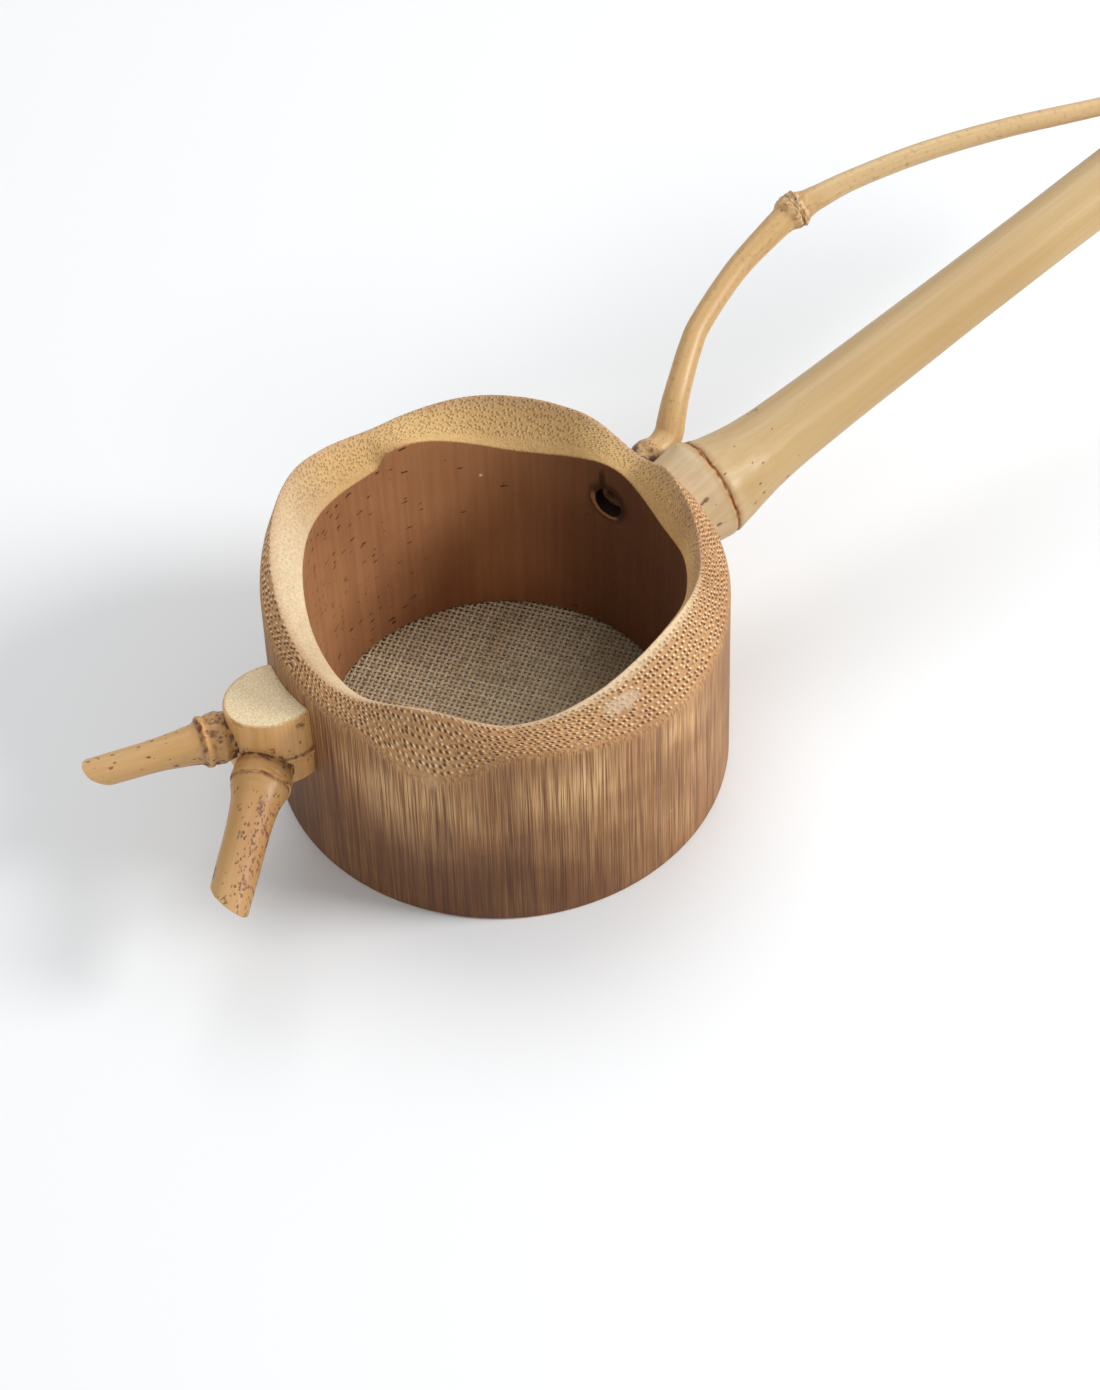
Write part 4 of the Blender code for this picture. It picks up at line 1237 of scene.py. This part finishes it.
def twigBlank(name, spec, root, tip):
    azimuth, slope, above, radii = spec
    lean = math.radians(slope)
    direction = polar(math.cos(lean), azimuth, math.sin(lean))
    start = Vector((root.x, root.y, restShape["ringHeight"] + above)) + direction * restShape["radius"]
    stations = splineThrough(radii, restShape["twigSteps"])
    blank = turnBlank(name, [(radius, distance) for distance, radius in stations], restShape["twigSides"])
    points = pointsOf(blank)
    radius, turn = aboutAxis(points)
    at = points[:, 2]
    uneven = waver(turn, at, restShape["twigUneven"]) + waver(turn, at, restShape["rootUneven"]) * bell(at, 2,
                                                                                                        2.2)
    points[:, :2] *= ((radius + uneven) / radius)[:, None]
    at += waver(turn, at, restShape["twigRingWave"]) * bell(at, 2.6, 1.4)
    movePoints(blank, points)
    placing = Matrix.Translation(start) @ along(direction)
    blank.data.transform(placing)
    leanAngle, leanTo = tip
    leanTo = Vector(leanTo)
    leanTo = (leanTo - direction * leanTo.dot(direction)).normalized()
    normal = direction * math.cos(math.radians(leanAngle)) + leanTo * math.sin(math.radians(leanAngle))
    longest = start + direction * radii[-1][0] - leanTo * radii[-1][1]      # the tip's long side stays whole
    activate(blank)
    bpy.ops.object.mode_set(mode="EDIT")
    bpy.ops.mesh.select_all(action="SELECT")
    bpy.ops.mesh.bisect(plane_co=longest, plane_no=normal, use_fill=True, clear_outer=True)
    bpy.ops.object.mode_set(mode="OBJECT")
    return blank, placing, normal, longest


def makeRest():
    shape = restShape
    root = polar(outerRadius + shape["standoff"], joinery["restAzimuth"], 0)
    block = turnBlank("forkedRest", shape["block"], shape["sides"])
    points = pointsOf(block)
    radius, turn = aboutAxis(points)
    radius = np.maximum(radius, 0.01)
    uneven = waver(turn, points[:, 2], shape["blockUneven"]) * (radius > 5)
    points[:, :2] *= ((radius + uneven) / radius)[:, None]
    points[:, 2] += waver(turn, points[:, 2], shape["blockRingWave"]) * bell(points[:, 2],
                                                                             shape["ringHeight"], 1.0)
    rises = np.array(polar(1, shape["topRisesTo"], 0))
    points[:, 2] += smoothStep(points[:, 2], 23.8, shape["topHeight"]) * (points @ rises * shape["topSlope"]
                                                                         + shape["topLift"])
    movePoints(block, points)
    block.data.transform(Matrix.Translation(root))
    limbs = [(Matrix.Translation(root), [(height, radius) for radius, height in shape["block"]])]
    tips = []
    for name, spec in shape["twigs"].items():
        limb, placing, normal, longest = twigBlank(name + "Limb", spec, root, shape["tips"][name])
        limbs.append((placing, spec[3]))
        tips.append((np.array(normal), np.array(longest)))
        carve(block, limb, "UNION")
    low, high = Vector((0, 0, 0)), Vector((0, 0, 60))
    carve(block, borer(low, high, outerRadius + joinery["contact"], 384))
    socketEnd = outerRadius + joinery["restDowelDepth"] + joinery["gap"]
    carve(block, borer(onRestDowel(outerRadius - 4), onRestDowel(socketEnd),
                       joinery["restDowelRadius"] + joinery["gap"]))
    paintRest(block, limbs, tips)
    settle(block, makeBranchMaterial("restBamboo", restLook), ["rest_fork"], 42)


def paintRest(block, limbs, tips):
    shape = restShape
    points, centres, normals = pointsOf(block), facesOf(block, "center"), facesOf(block, "normal")
    corners, owners = cornersOf(block)
    # how far each face lies off each limb's surface, and the points in each limb's own coordinates
    misses, views = [], []
    for placing, stations in limbs:
        spots = seenFrom(placing, centres)
        heights, radii = zip(*stations)
        wanted = np.interp(spots[:, 2], heights, radii)
        misses.append(np.abs(aboutAxis(spots)[0] - wanted) + np.maximum(min(heights) - spots[:, 2], 0))
        views.append(seenFrom(placing, points))
    limbOf = np.argmin(np.array(misses), 0)
    root = limbs[0][0].translation
    onBlockTop = np.hypot(centres[:, 0] - root.x, centres[:, 1] - root.y) < shape["radius"]
    top = (normals[:, 2] > 0.9) & (centres[:, 2] > 26.5) & onBlockTop
    bottom = (normals[:, 2] < -0.9) & (centres[:, 2] < 17.6)
    limbOf[top | bottom] = 0
    sawn = (top | bottom).astype(float)
    for normal, longest in tips:
        onTip = (normals @ normal > 0.95) & (np.abs((centres - longest) @ normal) < 0.1)
        sawn[onTip] = 1
    limb = limbOf[owners]
    local = np.array(views)[limb, corners]
    paint(block, "grain", local * mm + limb[:, None] * 0.05, "CORNER")
    paint(block, "cut", sawn[owners], "CORNER")
    spot = points[corners]
    at = local[:, 2]
    rough = wander(points, 1.3, 3)[corners]
    blockLine = bell(at + 0.3 * rough, shape["ringHeight"] + 0.30, 0.20) + 0.3 * bell(at,
                                                                                      shape["ringHeight"]
                                                                                      - 0.5, 0.3)
    leftLine = bell(at + 0.4 * rough, 3.75, 0.20) + 0.5 * bell(at, 2.4, 0.3) + 0.4 * bell(at, 0.3, 0.35)
    frontLine = bell(at + 0.4 * rough, 2.45, 0.20) + 0.4 * bell(at, 0.2, 0.35)
    line = np.choose(limb, [blockLine, leftLine, frontLine]) * (1.0 + 1.4 * rough)
    rim = 0.9 * (aboutAxis(local)[0] > 6.15) * (limb == 0)
    paint(block, "ring", np.where(sawn[owners] > 0.5, rim, np.clip(line, 0, 1)), "CORNER")
    # painted shade along the joint with the cup and in the creases where the twigs meet the block
    toCup = aboutAxis(spot)[0] - outerRadius
    crease = 0.8 * bell(misses[0][owners], 0, 0.7) * (limb > 0) * (at < 2.5) * (0.6 + 1.6 * rough)
    paint(block, "scorchedAndShaded", np.clip(0.22 * bell(toCup, 0, 0.8) + crease, 0, 1), "CORNER")
    rightWay = np.array(shotTurn() @ Vector((1, 0, 0)))
    placing = np.array(limbs[2][0])
    middle = placing[:3, 3] + at[:, None] * placing[:3, 2]
    toRight = ((spot - middle) @ rightWay) / 3.0
    onFront = 0.10 + 0.90 * smoothStep(toRight, -0.6, 0.7) * smoothStep(at, 3.0,
                                                                        6.5) * (1 - 0.4
                                                                        * smoothStep(at, 16, 20))
    onLeft = 0.08 + 0.10 * smoothStep(at, 2.0, 6.0) + 0.35 * bell(at, 1.6, 1.3)
    onBlock = 0.05 + 0.5 * bell(at, shape["ringHeight"] + 1.0, 1.5) * smoothStep(rough, -0.1, 0.4)
    paint(block, "freckled", np.clip(np.choose(limb, [onBlock, onLeft, onFront]), 0, 1), "CORNER")
    # painted highlights on the raised node rings; a paler tone on the block's skin
    raised = np.choose(limb, [bell(at, shape["ringHeight"] - 0.05, 0.22), bell(at, 3.15, 0.25),
                              bell(at, 2.1, 0.16)])
    skin = 0.6 * (limb == 0) * (sawn[owners] < 0.5)
    paint(block, "paleAndHighlight", np.clip(raised * (0.6 + 0.9 * rough) + skin, 0, 1), "CORNER")


makeRest()
